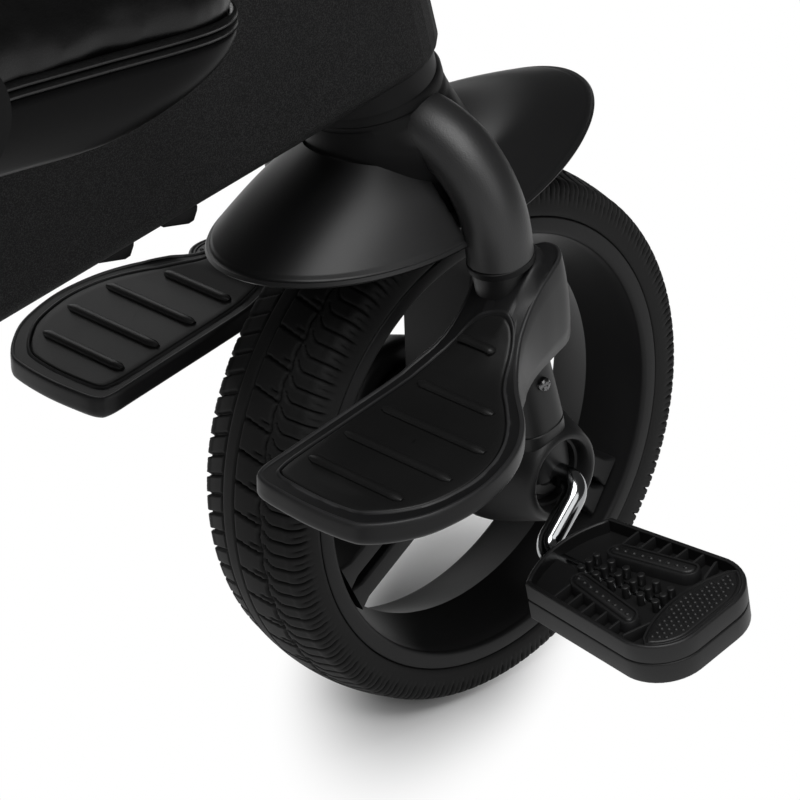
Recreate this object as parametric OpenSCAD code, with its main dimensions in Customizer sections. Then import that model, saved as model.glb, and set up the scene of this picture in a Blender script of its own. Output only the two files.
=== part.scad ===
// Toddler push-along trike: a pedalled front wheel in a steered fork, a moulded beam,
// a padded seat with a guard bar, two rear wheels and a telescopic push handle.
// Millimetres. +X points forward, +Y to the rider's left, +Z up.
// The origin is on the floor, below the middle of the trike's overall length.

/* [Front wheel] */
// Outer diameter of the front tyre
front_d = 280; // [270:1:290]
// Width of the front tyre
front_w = 65; // [60:1:68]
// Height of the front tyre's side above the rim's edge
tyre_side_h = 22.5; // [20.5:0.5:24.5]
// Depth of the tyre's seat below the rim's edge
bead_drop = 5; // [4:0.5:6]
// Width of the front rim's outer lip
lip_w = 9.5; // [8.5:0.5:11.5]
// Rise of the front rim's inner wall from its lip to its middle
rim_taper = 8; // [6:0.5:11]
// Diameter of the front hub
front_hub_d = 50; // [44:1:56]
// Length of the front hub
front_hub_l = 62; // [56:1:64]

/* [Spokes and tread] */
// Number of twin spokes in a wheel
spoke_count = 3; // [3:1:6]
// Width of one bar of a twin spoke
spoke_bar_w = 11; // [8:0.5:13]
// Width of the slot between the two bars
spoke_slot_w = 5; // [3:0.5:7]
// Angle of the first front spoke about the axle
spoke_start = -32; // [-60:1:60]
// Depth of the grooves around the tread
tread_groove_h = 3; // [1:0.5:4]
// Width of the grooves around the tread
tread_groove_w = 3; // [2:0.5:4]
// Drop of the tread from its middle to its edge
tread_drop = 4; // [2:0.5:6]
// Rounding of the tyre shoulder
shoulder_r = 7; // [4:0.5:9]

/* [Cranks and pedals] */
// Diameter of the bent crank rod
rod_d = 12; // [10:0.5:14]
// Distance from the axle to the pedal spindle
crank_len = 38; // [36:1:42]
// Angle of the right crank about the axle, from forward and upwards
crank_angle = 227; // [200:1:250]
// Distance of the crank arms from the middle plane
crank_y = 90; // [88:1:92]
// Diameter of the pedal spindles
spindle_d = 8; // [6:0.5:9]
// Length of a pedal
pedal_l = 101; // [94:1:105]
// Width of a pedal at its outer end
pedal_w = 74; // [68:1:76]
// Width of a pedal at its inner end
pedal_in_w = 61; // [56:1:64]
// Height of a pedal above its spindle
pedal_up = 10; // [9:0.5:11]
// Depth of a pedal below its spindle
pedal_down = 12; // [9:0.5:14]
// Slope of the right pedal, low at the rear
pedal_tilt = 13; // [0:1:20]

/* [Fork] */
// Lean of the steering axis from upright
rake = 16.5; // [12:0.5:20]
// Diameter of the fork tube
bow_d = 31.8; // [28:0.1:34]
// Wall of the fork tube
bow_wall = 1.8; // [1.2:0.1:2.5]
// Distance of the fork's legs from the middle plane
bow_y = 69; // [66:1:72]
// Bend radius of the fork tube
bow_bend_r = 48; // [42:1:52]
// Height of the fork tube's top along the steering axis, above the axle
bow_top = 187; // [183:1:190]
// Height of the lower end of the fork tube along the steering axis
bow_foot = 118; // [114:1:124]
// Diameter of the crown at its top
crown_top_d = 68; // [60:1:72]
// Diameter of the crown at its foot
crown_foot_d = 80; // [76:1:82]
// Height of the crown's foot along the steering axis
crown_foot = 147; // [146:1:150]
// Height of the crown
crown_h = 59; // [57:1:60]
// Diameter of the leg's neck
neck_d = 24; // [20:1:26]
// Distance of the leg's neck from the middle plane
neck_y = 66; // [64:1:67]
// Outer diameter of the hub barrel on the leg
barrel_d = 42; // [38:1:46]
// Diameter of the hub barrel at the wheel
barrel_in_d = 70; // [60:1:76]
// Distance of the hub barrel's end from the middle plane
barrel_y = 79; // [77:1:81]
// Diameter of the steering tube
steerer_d = 25.4; // [22:0.1:28]

/* [Mudguard] */
// Reach of the mudguard in front of its middle
guard_front = 133; // [120:1:140]
// Reach of the mudguard behind its middle
guard_rear = 93; // [85:1:100]
// Half width of the mudguard
guard_half_w = 64; // [60:1:70]
// Height of the mudguard's rim along the steering axis
guard_rim = 147; // [144:1:150]
// Thickness of the mudguard
guard_t = 3; // [2:0.5:4]
// Bulge of the mudguard between its crown and its rim
guard_bulge = 9; // [4:1:14]

/* [Footrests] */
// Length of the footrest tray
tray_l = 116; // [106:1:120]
// Width of the footrest tray
tray_w = 96; // [86:1:100]
// Distance of the tray's inner edge from the middle plane
tray_y = 52; // [50:1:54]
// Thickness of the tray
tray_t = 10; // [7:0.5:12]
// Slope of the tray, low at the rear
tray_slope = 12.3; // [8:0.1:15]
// Height of the tray's front above the axle
tray_z = 77.4; // [75:0.2:84]
// Distance of the tray's front behind the axle
tray_x = 66; // [62:1:70]
// Inset of the rubber pad from the tray's edge
pad_inset = 8; // [6:0.5:11]
// Thickness of the rubber pad
pad_t = 2; // [1.5:0.5:3]
// Width of a raised rib on the pad
rib_w = 5; // [3:0.5:6]
// Height of a raised rib on the pad
rib_h = 2; // [1:0.5:3]
// Diameter of the bracket round the leg
bracket_d = 52; // [48:1:54]

/* [Beam] */
// Width of the beam
beam_w = 78; // [70:1:84]
// Height of the beam
beam_h = 98; // [90:1:104]
// Rounding of the beam's edges
beam_r = 8; // [4:1:12]
// Height of the beam's underside at the steering axis
beam_s = 216; // [214:1:220]
// Distance of the beam's rear end behind the front axle
beam_end = 440; // [430:1:450]
// Slope of the beam, low at the rear
beam_slope = 9.9; // [8:0.1:11]
// Wall of the beam
beam_wall = 2.5; // [2:0.5:4]

/* [Handlebar] */
// Height of the handlebar along the steering axis
bar_s = 475; // [465:1:485]
// Diameter of the handlebar
bar_d = 22.2; // [20:0.1:25]
// Half width of the handlebar
bar_half_w = 155; // [145:1:160]
// Bend of the handlebar's side parts
bar_turn = 18; // [14:1:20]
// Upward tilt of the plane that the side parts bend in
bar_lift = 30; // [15:1:45]
// Length of a handgrip
grip_l = 96; // [85:1:105]
// Diameter of a handgrip
grip_d = 31; // [28:1:34]

/* [Seat] */
// Distance of the seat's front edge behind the front axle
seat_front = 232; // [226:1:240]
// Depth of the seat from front to back
seat_l = 232; // [224:1:238]
// Width of the seat
seat_w = 244; // [230:1:250]
// Height of the seat shell's rim above the front axle
seat_z = 288; // [284:1:292]
// Height of the seat shell
seat_h = 40; // [34:1:44]
// Thickness of the seat cushion at its edge
cushion_t = 22; // [16:1:28]
// Crown of the seat cushion
cushion_crown = 14; // [8:1:18]
// Height of the backrest
back_h = 330; // [300:1:350]
// Distance of the backrest's side from the seat's side
back_inset = 15; // [13:1:22]
// Lean of the backrest
back_lean = 12; // [8:1:14]
// Thickness of the backrest shell
back_t = 14; // [10:1:18]

/* [Guard bar] */
// Diameter of the guard bar
hoop_d = 16; // [14:1:18]
// Distance of the guard bar's pivots behind the front axle
hoop_back = 393; // [388:1:398]
// Height of the guard bar above its pivots
hoop_h = 104; // [98:1:106]
// Reach of the guard bar in front of its pivots
hoop_l = 118; // [110:1:120]
// Play between an arm of the guard bar and its socket
hoop_play = 1.7; // [1:0.1:3]
// Diameter of the foam on the guard bar
foam_d = 32; // [28:1:36]

/* [Rear end] */
// Distance of the rear axle behind the front axle
wheelbase = 520; // [510:1:535]
// Outer diameter of a rear tyre
rear_d = 230; // [220:1:240]
// Width of a rear tyre
rear_w = 46; // [42:1:50]
// Distance of a rear wheel from the middle plane
rear_y = 195; // [192:1:200]
// Diameter of the rear axle
axle_d = 10; // [8:0.5:12]
// Diameter of the tube that houses the rear axle
housing_d = 30; // [26:1:34]
// Length of the brake pedal
brake_l = 62; // [50:1:70]
// Width of the brake pedal
brake_w = 84; // [70:1:95]

/* [Push handle] */
// Lean of the push handle from upright
push_lean = 18; // [16:0.5:20]
// Diameter of the lower push tube
push_d = 30; // [28:0.5:32]
// Wall of the lower push tube
push_wall = 2; // [1.5:0.1:2.5]
// Length of the lower push tube
push_low_l = 400; // [380:1:420]
// Length of the upper push tube above the lower one
push_up_l = 345; // [330:1:360]
// Length of the upper push tube inside the lower one
push_in_l = 200; // [180:1:220]
// Width of the push bar
push_w = 250; // [220:1:280]
// Diameter of the push bar's grip
push_grip_d = 34; // [30:1:38]

/* [Hidden] */

$fn = 48;
// Sides of the small round shapes inside a blended shape
blend_fn = 32;
// Overrun of every cut
over = 1;
// Radial running clearance of a shaft
run = 0.05;
// Gap between parts that move past each other
gap = 0.4;
// Wall of the steering tube and the upper push tube
tube_wall = 2;

// Wheel details
flange_t = 4;
bead_t = 2;
lip_r = 4;
spoke_root = 18;
spoke_depth_share = 0.8;
spoke_hub_depth_share = 0.62;
groove_shares = [-0.62, -0.34, 0.34, 0.62];
shoulder_steps = 6;
rear_flange_share = 0.84;
rear_seat_share = 0.8;
rear_lip_share = 0.76;
rear_waist_share = 0.69;
rear_hub_d = 44;

// Pedal details
pedal_wall = 3;
pedal_corner_r = 24;
pedal_nose_r = 39;
pedal_recess = 4.5;
pedal_gap = 1.5;
crank_bend_r = 9;
spindle_collar_d = 9.6;
spindle_collar_l = 3;
spindle_end = 8;
peg_d = 2.6;
peg_rows = 3;
peg_columns = 6;
peg_pitch = 9.4;
pad_w = 11;
pad_l = 48;
slat_t = 1.4;
slat_count = 5;
lens_share = 0.85;
lens_place_share = 0.58;
pad_place_share = 0.23;
pad_start_share = 0.23;
slat_start_share = 0.25;

// Fork details
bush_d = 20;
bush_flange_d = 27;
bush_flange_t = 1.5;
barrel_round = 5;
barrel_in_y = 34.5;
crown_hole_d = 10;
guard_shift = 7.5;
guard_tip_slope = -0.095;
guard_saddle = 4.2;
guard_root_slope = -0.49;
guard_root = 168;
guard_root_dip = 12;
guard_waist = 15;
guard_waist_power = 40;
guard_rings = 7;
guard_steps = 60;
guard_notch = 0.6;

// Outline of the right tray, as shares of its length rearward and of its width outward
tray_shares = [
    [0, 0.02], [0.35, 0.01], [0.75, 0], [0.92, 0.01], [0.985, 0.08],
    [1, 0.3], [0.985, 0.62], [0.95, 0.76], [0.86, 0.9], [0.72, 0.985], [0.56, 1], [0.4, 0.96],
    [0.26, 0.87], [0.14, 0.74], [0.05, 0.61], [0, 0.54]
];
outline_steps = 4;
// Ribs of the pad: share of the length rearward, inner and outer share of the width
rib_shares = [
    [0.1, 0.2, 0.5], [0.26, 0.16, 0.68], [0.45, 0.15, 0.83], [0.63, 0.14, 0.86], [0.82, 0.14, 0.77]
];
bracket_top = 124;
bracket_foot = 66;
bracket_lean = 6;
bracket_h = 14;
bracket_root = 1.5;
bracket_y = 71;
screw_d = 7;
screw_h = 2.5;
screw_s = 56;

// Head and handlebar details
head_ring_d = 70;
head_sleeve_d = 33;
head_sleeve_l = 26;
head_cap_d = 56;
head_cap_h = 6;
cover_top_d = 36;
cover_gap = 1;
clamp_d = 38;
clamp_l = 52;
clamp_neck_h = 34;
grip_flange_d = 40;
grip_flange_t = 4;
bar_straight = 42;
clip_l = 10;
clip_w = 6;
clip_h = 4;
clip_places = [196, 232];

// Seat details
pan_foot_w = 150;
pan_foot_l = 150;
pan_wall = 4;
pan_round = 10;
pan_rim_t = 6;
pan_hole_d = 70;
pan_shift_share = 0.125;
soft_gap = 0.3;
cushion_inset = 2;
cushion_pinch_share = 0.05;
cushion_power = 5;
cushion_steps = 36;
// Rings of the cushion's top, from near its middle to its seam
ring_shares = [0.2, 0.4, 0.6, 0.76, 0.88, 0.96, 1];
seam_share = 0.5;
foot_share = 0.96;
channel_depth = 3;
channel_count = 3;
channel_power = 8;
back_cushion_t = 24;
back_cushion_crown = 12;
back_w = seat_w - 2 * back_inset;
back_corner_r = 60;
back_foot_gap = 14;
recline_d = 10;
recline_knuckle_d = 26;
recline_ear_t = 10;
recline_back = 12;
recline_up = 16;
socket_d = 50;
socket_y = seat_w / 2 - cushion_inset + soft_gap;
socket_t = 24;
hoop_y = socket_y + socket_t + hoop_play + hoop_d / 2;
hoop_lift = 10;

// Rear details
post_t = 54;
post_w = 60;
boss_d = 46;
boss_h = 72;
boss_floor = 8;
nut_d = 20;
nut_t = 6;
cap_h = 12;
cap_wall = 3;
wheel_gap = 2;
brake_t = 8;
brake_pin_d = 8;
brake_lug_t = 8;
brake_drop = 4;

// Push handle details
push_base_behind = 502;
push_base_z = 64;
collar_d = 44;
collar_h = 46;
button_d = 14;
button_travel = 4;
button_h = 9;
push_bar_d = 22;
tee_d = 36;
tee_l = 44;

// Derived places
front_r = front_d / 2;
front_flange_d = front_d - 2 * tyre_side_h;
front_seat_d = front_flange_d - 2 * bead_drop;
front_lip_d = front_flange_d - 2 * lip_w;
front_waist_d = front_lip_d - 2 * rim_taper;
push_len = push_low_l + push_up_l;
rear_reach = push_base_behind + push_len * sin(push_lean) + max(push_grip_d, tee_d) / 2;
axle_x = (rear_reach - front_r) / 2;
rear_axle_z = rear_d / 2;
pedal_x = crank_len * cos(crank_angle);
pedal_z = crank_len * sin(crank_angle);
pedal_y = crank_y + crank_bend_r + pedal_gap;
brake_back = post_t / 2 + brake_pin_d + wheel_gap;
beam_top = beam_s + beam_h;
beam_foot_z = beam_s * cos(rake);
housing_l = 2 * (rear_y - rear_w / 2 - wheel_gap);
crown_top = crown_foot + crown_h;
recline_x = -(seat_front + seat_l + recline_back);
recline_z = seat_z + recline_up;
bar_side_l = (bar_half_w - bar_straight) / cos(bar_turn);

// Frame of the front axle
module at_axle() { translate([axle_x, 0, front_r]) children(); }

// Frame of the steering axis: local Z runs up the axis from the front axle
module at_steer() { at_axle() rotate([0, -rake, 0]) children(); }

// Right-hand pieces are drawn with Y outward and mirrored into place
module right() { mirror([0, 1, 0]) children(); }

// A rod between two points
module rod(p, q, d) {
    v = q - p;
    translate(p) rotate([0, acos(v[2] / norm(v)), atan2(v[1], v[0])]) cylinder(d = d, h = norm(v));
}

// Smooth closed outline through the given points
function wrap(p, i) = p[(i + len(p)) % len(p)];
function curve(a, b, c, d, t) =
    b + (c - a) * t / 2 + (2 * a - 5 * b + 4 * c - d) * t * t / 2 + (3 * b - a - 3 * c + d) * t * t * t / 2;
function smooth(p) = [
    for (i = [0 : len(p) - 1], j = [0 : outline_steps - 1])
        curve(wrap(p, i - 1), p[i], wrap(p, i + 1), wrap(p, i + 2), j / outline_steps)
];

// Closed skin between two nets of points with the same rings and steps
function skin(n, m) = let (top = (n + 1) * m) concat(
    [for (i = [0 : n - 1], j = [0 : m - 1], k = [0, 1])
        let (a = i * m + j, b = i * m + (j + 1) % m)
        k == 0 ? [a, b + m, a + m] : [a, b, b + m]],
    [for (i = [0 : n - 1], j = [0 : m - 1], k = [0, 1])
        let (a = top + i * m + j, b = top + i * m + (j + 1) % m)
        k == 0 ? [a, a + m, b + m] : [a, b + m, b]],
    [for (j = [0 : m - 1], k = [0, 1])
        let (a = n * m + j, b = n * m + (j + 1) % m)
        k == 0 ? [a, top + b, top + a] : [a, b, top + b]],
    [for (j = [0 : m - 1], k = [0, 1])
        let (a = j, b = (j + 1) % m)
        k == 0 ? [a, top + a, top + b] : [a, top + b, b]]
);

// Wheels
function tyre_half(d, w, flange, seat) = concat(
    [for (i = [0 : shoulder_steps])
        let (y = (w / 2 - shoulder_r) * i / shoulder_steps)
        [d / 2 - tread_drop * pow(y / (w / 2 - shoulder_r), 2), y]],
    [for (i = [1 : shoulder_steps])
        let (a = 90 * i / shoulder_steps)
        [d / 2 - tread_drop - shoulder_r + shoulder_r * cos(a), w / 2 - shoulder_r + shoulder_r * sin(a)]],
    [[flange / 2, w / 2], [flange / 2, w / 2 - flange_t], [seat / 2, w / 2 - flange_t - bead_t]]
);
function flip(p) = [for (i = [len(p) - 1 : -1 : 1]) [p[i][0], -p[i][1]]];

module tyre(d, w, flange, seat) {
    half = tyre_half(d, w, flange, seat);
    rotate([90, 0, 0]) difference() {
        rotate_extrude() polygon(concat(half, [[seat / 2, 0]], flip(half)));
        for (s = groove_shares) rotate_extrude()
            translate([d / 2 - tread_groove_h - tread_drop * s * s, s * w / 2 - tread_groove_w / 2])
                square([tread_groove_h + tread_drop, tread_groove_w]);
    }
}

module rim(w, flange, seat, lip, waist, hub, hub_l, bore, start) {
    half = [
        [seat / 2, 0], [seat / 2, w / 2 - flange_t - bead_t], [flange / 2, w / 2 - flange_t],
        [flange / 2, w / 2], [lip / 2 + lip_r, w / 2], [lip / 2, w / 2 - lip_r]
    ];
    rotate([90, 0, 0]) difference() {
        union() {
            rotate_extrude() polygon(concat(half, [[waist / 2, 0]], flip(half)));
            cylinder(d = hub, h = hub_l, center = true);
            for (i = [0 : spoke_count - 1], side = [-1, 1])
                rotate([0, 0, start + i * 360 / spoke_count]) spoke(side, w, seat / 2 - flange_t, hub_l);
        }
        cylinder(d = bore, h = hub_l + over, center = true);
    }
}

module spoke(side, w, reach, hub_l) {
    outer = w / 2 * spoke_depth_share;
    inner = hub_l / 2 * spoke_hub_depth_share;
    translate([0, side * (spoke_slot_w + spoke_bar_w) / 2 + spoke_bar_w / 2, 0]) rotate([90, 0, 0])
        linear_extrude(spoke_bar_w)
            polygon([[spoke_root, -inner], [reach, -outer], [reach, outer], [spoke_root, inner]]);
}

module front_tyre() {
    color("#1b1b1c") at_axle() tyre(front_d, front_w, front_flange_d, front_seat_d);
}

module front_rim() {
    color("#2b2b2d") at_axle() rim(
        front_w, front_flange_d, front_seat_d, front_lip_d,
        front_waist_d, front_hub_d, front_hub_l, rod_d, spoke_start
    );
}

// Cranks and pedals
// One half of the bent rod: local X runs along its arm
module crank_half() {
    r = crank_bend_r;
    spindle_l = pedal_gap + pedal_l - spindle_end;
    rotate([0, -crank_angle, 0]) {
        rotate([-90, 0, 0]) cylinder(d = rod_d, h = crank_y - r);
        translate([r, crank_y - r, 0]) rotate([0, 0, 90])
            rotate_extrude(angle = 90) translate([r, 0]) circle(d = rod_d);
        translate([r, crank_y, 0]) rotate([0, 90, 0]) cylinder(d = rod_d, h = crank_len - 2 * r);
        translate([crank_len - r, crank_y + r, 0]) rotate([0, 0, -90])
            rotate_extrude(angle = 90) translate([r, 0]) circle(d = rod_d);
        translate([crank_len, crank_y + r, 0]) rotate([-90, 0, 0]) {
            cylinder(d = spindle_d, h = spindle_l);
            translate([0, 0, spindle_l - 2 * spindle_collar_l])
                cylinder(d = spindle_collar_d, h = spindle_collar_l);
        }
    }
}

module crank_axle() {
    color("silver") at_axle() {
        right() crank_half();
        rotate([0, 180, 0]) crank_half();
    }
}

module pedal_slab(inset, h) {
    inner = pedal_in_w / 2 - inset;
    outer = pedal_w / 2 - inset;
    corner = pedal_corner_r - inset;
    shoulder = pedal_l - pedal_corner_r;
    union() {
        intersection() {
            translate([0, pedal_nose_r, 0]) cylinder(r = pedal_nose_r - inset, h = h);
            translate([-inner, 0, 0]) cube([2 * inner, pedal_in_w / 2, h]);
        }
        for (s = [-1, 1]) translate([s * (outer - corner), shoulder, 0]) cylinder(r = corner, h = h);
        linear_extrude(h) polygon([
            [-inner, pedal_in_w / 2], [-outer, shoulder], [corner - outer, pedal_l - inset],
            [outer - corner, pedal_l - inset], [outer, shoulder], [inner, pedal_in_w / 2]
        ]);
    }
}

// Hole for the spindle and its collar
module spindle_hole() {
    collar = pedal_l - spindle_end - 2 * spindle_collar_l;
    rotate([-90, 0, 0]) {
        translate([0, 0, -over]) cylinder(d = spindle_d + 2 * run, h = pedal_l - spindle_end + over + gap);
        translate([0, 0, collar - gap])
            cylinder(d = spindle_collar_d + 2 * gap, h = spindle_collar_l + 2 * gap);
    }
}

module pedal_base() {
    difference() {
        translate([0, 0, -pedal_down]) pedal_slab(0, pedal_down);
        spindle_hole();
    }
}

// Oval pad with its long side outward
module oval_pad(h) {
    linear_extrude(h) {
        for (y = [pad_w / 2, pad_l - pad_w / 2]) translate([0, y]) circle(d = pad_w);
        translate([-pad_w / 2, pad_w / 2]) square([pad_w, pad_l - pad_w]);
    }
}

// Pads, pegs, slats and the outer lens that stand on the deck's floor
module deck_relief(lens_r, slat_x) {
    for (s = [-1, 1]) translate([s * pedal_w * pad_place_share, pedal_l * pad_start_share, 0])
        oval_pad(pedal_recess);
    for (i = [0 : peg_columns - 1], j = [0 : peg_rows - 1])
        translate([
            (j - (peg_rows - 1) / 2) * peg_pitch / 2,
            pedal_l * pad_start_share + i * peg_pitch, 0
        ]) cylinder(d = peg_d, h = pedal_recess);
    intersection() {
        pedal_slab(pedal_wall, pedal_recess);
        union() {
            for (i = [0 : slat_count - 1])
                translate([slat_x, pedal_l * slat_start_share + i * peg_pitch, 0])
                    cube([pedal_w / 2 - slat_x, slat_t, pedal_recess]);
            translate([0, pedal_l + lens_r * lens_place_share, 0]) cylinder(r = lens_r, h = pedal_recess);
        }
    }
}

module pedal_deck() {
    floor_z = pedal_up - pedal_recess;
    lens_r = pedal_w * lens_share;
    slat_x = pedal_w * pad_place_share + pad_w / 2;
    difference() {
        union() {
            difference() {
                pedal_slab(0, pedal_up);
                translate([0, 0, floor_z]) pedal_slab(pedal_wall, pedal_recess + over);
            }
            translate([0, 0, floor_z]) deck_relief(lens_r, slat_x);
        }
        spindle_hole();
    }
}

module at_pedal_right() {
    at_axle() translate([pedal_x, -pedal_y, pedal_z]) rotate([0, -pedal_tilt, 0]) right() children();
}

module at_pedal_left() {
    at_axle() translate([-pedal_x, pedal_y, -pedal_z]) children();
}

module pedal_base_right() { color("#262627") at_pedal_right() pedal_base(); }
module pedal_deck_right() { color("#2d2d2f") at_pedal_right() pedal_deck(); }
module pedal_base_left() { color("#262627") at_pedal_left() pedal_base(); }
module pedal_deck_left() { color("#2d2d2f") at_pedal_left() pedal_deck(); }

// Fork
module bow(d, foot) {
    arc_z = bow_top - bow_bend_r;
    arc_y = bow_y - bow_bend_r;
    for (side = [0, 1]) mirror([0, side, 0]) {
        translate([0, bow_y, foot]) cylinder(d = d, h = arc_z - foot);
        translate([0, arc_y, arc_z]) rotate([90, 0, 90])
            rotate_extrude(angle = 90) translate([bow_bend_r, 0]) circle(d = d);
    }
    translate([0, 0, bow_top]) rotate([90, 0, 0]) cylinder(d = d, h = 2 * arc_y, center = true);
}

module fork_bow() {
    color("#252526") at_steer() difference() {
        bow(bow_d, bow_foot);
        bow(bow_d - 2 * bow_wall, bow_foot - over);
    }
}

module fork_crown() {
    color("#2a2a2b") at_steer() difference() {
        translate([0, 0, crown_foot]) cylinder(d1 = crown_foot_d, d2 = crown_top_d, h = crown_h);
        bow(bow_d, bow_foot);
        translate([0, 0, bow_top]) cylinder(d = steerer_d, h = crown_h);
        translate([0, 0, crown_foot - over]) cylinder(d = crown_hole_d, h = crown_h / 2);
    }
}

module steerer_tube() {
    color("dimgray") at_steer() difference() {
        translate([0, 0, bow_top]) cylinder(d = steerer_d, h = bar_s - bar_d / 2 - bow_top);
        translate([0, 0, bow_top]) cylinder(d = steerer_d - 2 * tube_wall, h = bar_s - bow_top);
        bow(bow_d, bow_foot);
    }
}

// Mudguard: its root follows the crown, its rim is longer in front and saddle shaped
function guard_point(u, a, drop) = let (
    reach = cos(a) > 0 ? guard_front : guard_rear,
    root_x = crown_foot_d / 2 * cos(a),
    root_y = crown_foot_d / 2 * sin(a),
    rim_x = reach * cos(a) - guard_shift,
    side = pow(abs(sin(a)), guard_waist_power),
    rim_y = (guard_half_w - guard_waist * side) * sin(a),
    root_z = guard_root + guard_root_slope * root_x - guard_root_dip * side,
    rim_z = guard_rim + guard_tip_slope * reach * cos(a) + guard_saddle * cos(2 * a)
) [
    root_x + (rim_x - root_x) * u,
    root_y + (rim_y - root_y) * u,
    root_z + (rim_z - root_z) * u + guard_bulge * (1 - side) * sin(180 * u) - drop
];

module guard_skin() {
    nets = [for (drop = [0, guard_t], i = [0 : guard_rings], j = [0 : guard_steps - 1])
        guard_point(i / guard_rings, j * 360 / guard_steps, drop)];
    polyhedron(nets, skin(guard_rings, guard_steps));
}

module mudguard() {
    color("#2e2e30") at_steer() difference() {
        guard_skin();
        bow(bow_d + 2 * guard_notch, bow_foot - over);
        translate([0, 0, crown_foot - crown_h])
            cylinder(d = crown_foot_d + guard_notch, h = 3 * crown_h);
    }
}

// Leg: hub barrel, neck and a spigot inside the fork tube
module leg_solid() {
    rotate([-90, 0, 0]) rotate_extrude() polygon([
        [0, barrel_in_y],
        [barrel_in_d / 2 - barrel_round, barrel_in_y],
        [barrel_in_d / 2, barrel_in_y + barrel_round],
        [barrel_d / 2 + barrel_round / 2, barrel_y - barrel_round],
        [barrel_d / 2, barrel_y - barrel_round / 2],
        [barrel_d / 2 - barrel_round / 2, barrel_y],
        [0, barrel_y]
    ]);
    rotate([0, -rake, 0]) {
        translate([0, neck_y, 0]) cylinder(d = neck_d, h = bow_foot);
        translate([0, bow_y, bow_foot - neck_d / 2]) cylinder(d = bow_d - 2 * bow_wall, h = neck_d);
    }
}

module leg() {
    difference() {
        leg_solid();
        rotate([-90, 0, 0]) cylinder(d = bush_d, h = barrel_y + over);
    }
}

module fork_leg_right() { color("#2c2c2e") at_axle() right() leg(); }
module fork_leg_left() { color("#2c2c2e") at_axle() leg(); }

module bush() {
    rotate([-90, 0, 0]) difference() {
        union() {
            translate([0, 0, barrel_in_y]) cylinder(d = bush_d, h = barrel_y - barrel_in_y);
            translate([0, 0, barrel_y]) cylinder(d = bush_flange_d, h = bush_flange_t);
            translate([0, 0, front_hub_l / 2 + gap])
                cylinder(d = bush_d, h = barrel_in_y - front_hub_l / 2 - gap);
        }
        cylinder(d = rod_d + 2 * run, h = barrel_y + bush_flange_t + over);
    }
}

module hub_bush_right() { color("#3a3a3c") at_axle() right() bush(); }
module hub_bush_left() { color("#3a3a3c") at_axle() bush(); }

// Footrests: a tray that runs back from a bracket round the leg
function tray_points() = smooth([for (p = tray_shares) [-p[0] * tray_l, p[1] * tray_w]]);

module on_tray() {
    translate([-tray_x, tray_y, tray_z]) rotate([0, -tray_slope, 0]) children();
}

module bracket() {
    foot_d = neck_d + tray_t / 2;
    hull() {
        rotate([0, -rake, 0]) {
            translate([0, bracket_y, bracket_top - bracket_h])
                cylinder(d = bracket_d, h = bracket_h, $fn = blend_fn);
            translate([bracket_lean, bracket_y, bracket_foot])
                cylinder(d = foot_d, h = bracket_h, $fn = blend_fn);
        }
        on_tray() translate([-tray_t, bracket_root, bracket_root - tray_t])
            cube([tray_t + bracket_root, tray_w / 2, tray_t - 2 * bracket_root]);
    }
}

// Outline of the rubber pad
module pad_slab(h) {
    translate([0, 0, -pad_t / 2]) linear_extrude(h) offset(delta = -pad_inset) polygon(tray_points());
}

module footrest() {
    difference() {
        union() {
            on_tray() translate([0, 0, -tray_t]) linear_extrude(tray_t) polygon(tray_points());
            bracket();
        }
        leg_solid();
        rotate([0, -rake, 0]) bow(bow_d, bow_foot);
        difference() {
            on_tray() pad_slab(tray_t);
            bracket();
        }
    }
}

module footrest_right() { color("#29292a") at_axle() right() footrest(); }
module footrest_left() { color("#29292a") at_axle() footrest(); }

module footrest_pad() {
    difference() {
        on_tray() {
            pad_slab(pad_t);
            for (r = rib_shares) translate([-r[0] * tray_l, r[1] * tray_w, 0]) {
                l = (r[2] - r[1]) * tray_w;
                translate([-rib_w / 2, 0, 0]) cube([rib_w, l, pad_t / 2 + rib_h]);
                for (y = [0, l]) translate([0, y, 0]) cylinder(d = rib_w, h = pad_t / 2 + rib_h);
            }
        }
        bracket();
    }
}

module footrest_pad_right() { color("#1f1f20") at_axle() right() footrest_pad(); }
module footrest_pad_left() { color("#1f1f20") at_axle() footrest_pad(); }

module leg_screw() {
    rotate([0, -rake, 0]) translate([0, neck_y, screw_s]) difference() {
        rotate([-90, 0, 0]) cylinder(d = screw_d, h = neck_d / 2 + screw_h);
        cylinder(d = neck_d, h = 2 * screw_d, center = true);
    }
}

module leg_screws() {
    color("#4a4a4c") at_axle() for (side = [0, 1]) mirror([0, side, 0]) leg_screw();
}

// Beam
module beam_solid(inset = 0) {
    drop = beam_end * tan(beam_slope);
    r = beam_r - inset;
    flat = beam_w / 2 - beam_r;
    hull() {
        rotate([0, -rake, 0]) translate([0, 0, beam_s]) rotate_extrude($fn = blend_fn) {
            translate([0, inset]) square([flat, beam_h - 2 * inset]);
            translate([0, beam_r]) square([flat + r, beam_h - 2 * beam_r]);
            for (z = [beam_r, beam_h - beam_r]) translate([flat, z]) circle(r, $fn = blend_fn);
        }
        for (y = [-1, 1], z = [beam_r, beam_h - beam_r])
            translate([beam_r - beam_end - 2 * inset, y * flat, beam_foot_z - drop + z])
                sphere(r, $fn = blend_fn);
    }
}

module main_beam() {
    color("#222223") at_axle() difference() {
        beam_solid();
        beam_solid(beam_wall);
        rotate([0, -rake, 0]) cylinder(d = head_sleeve_d, h = 2 * beam_top);
    }
}

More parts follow.
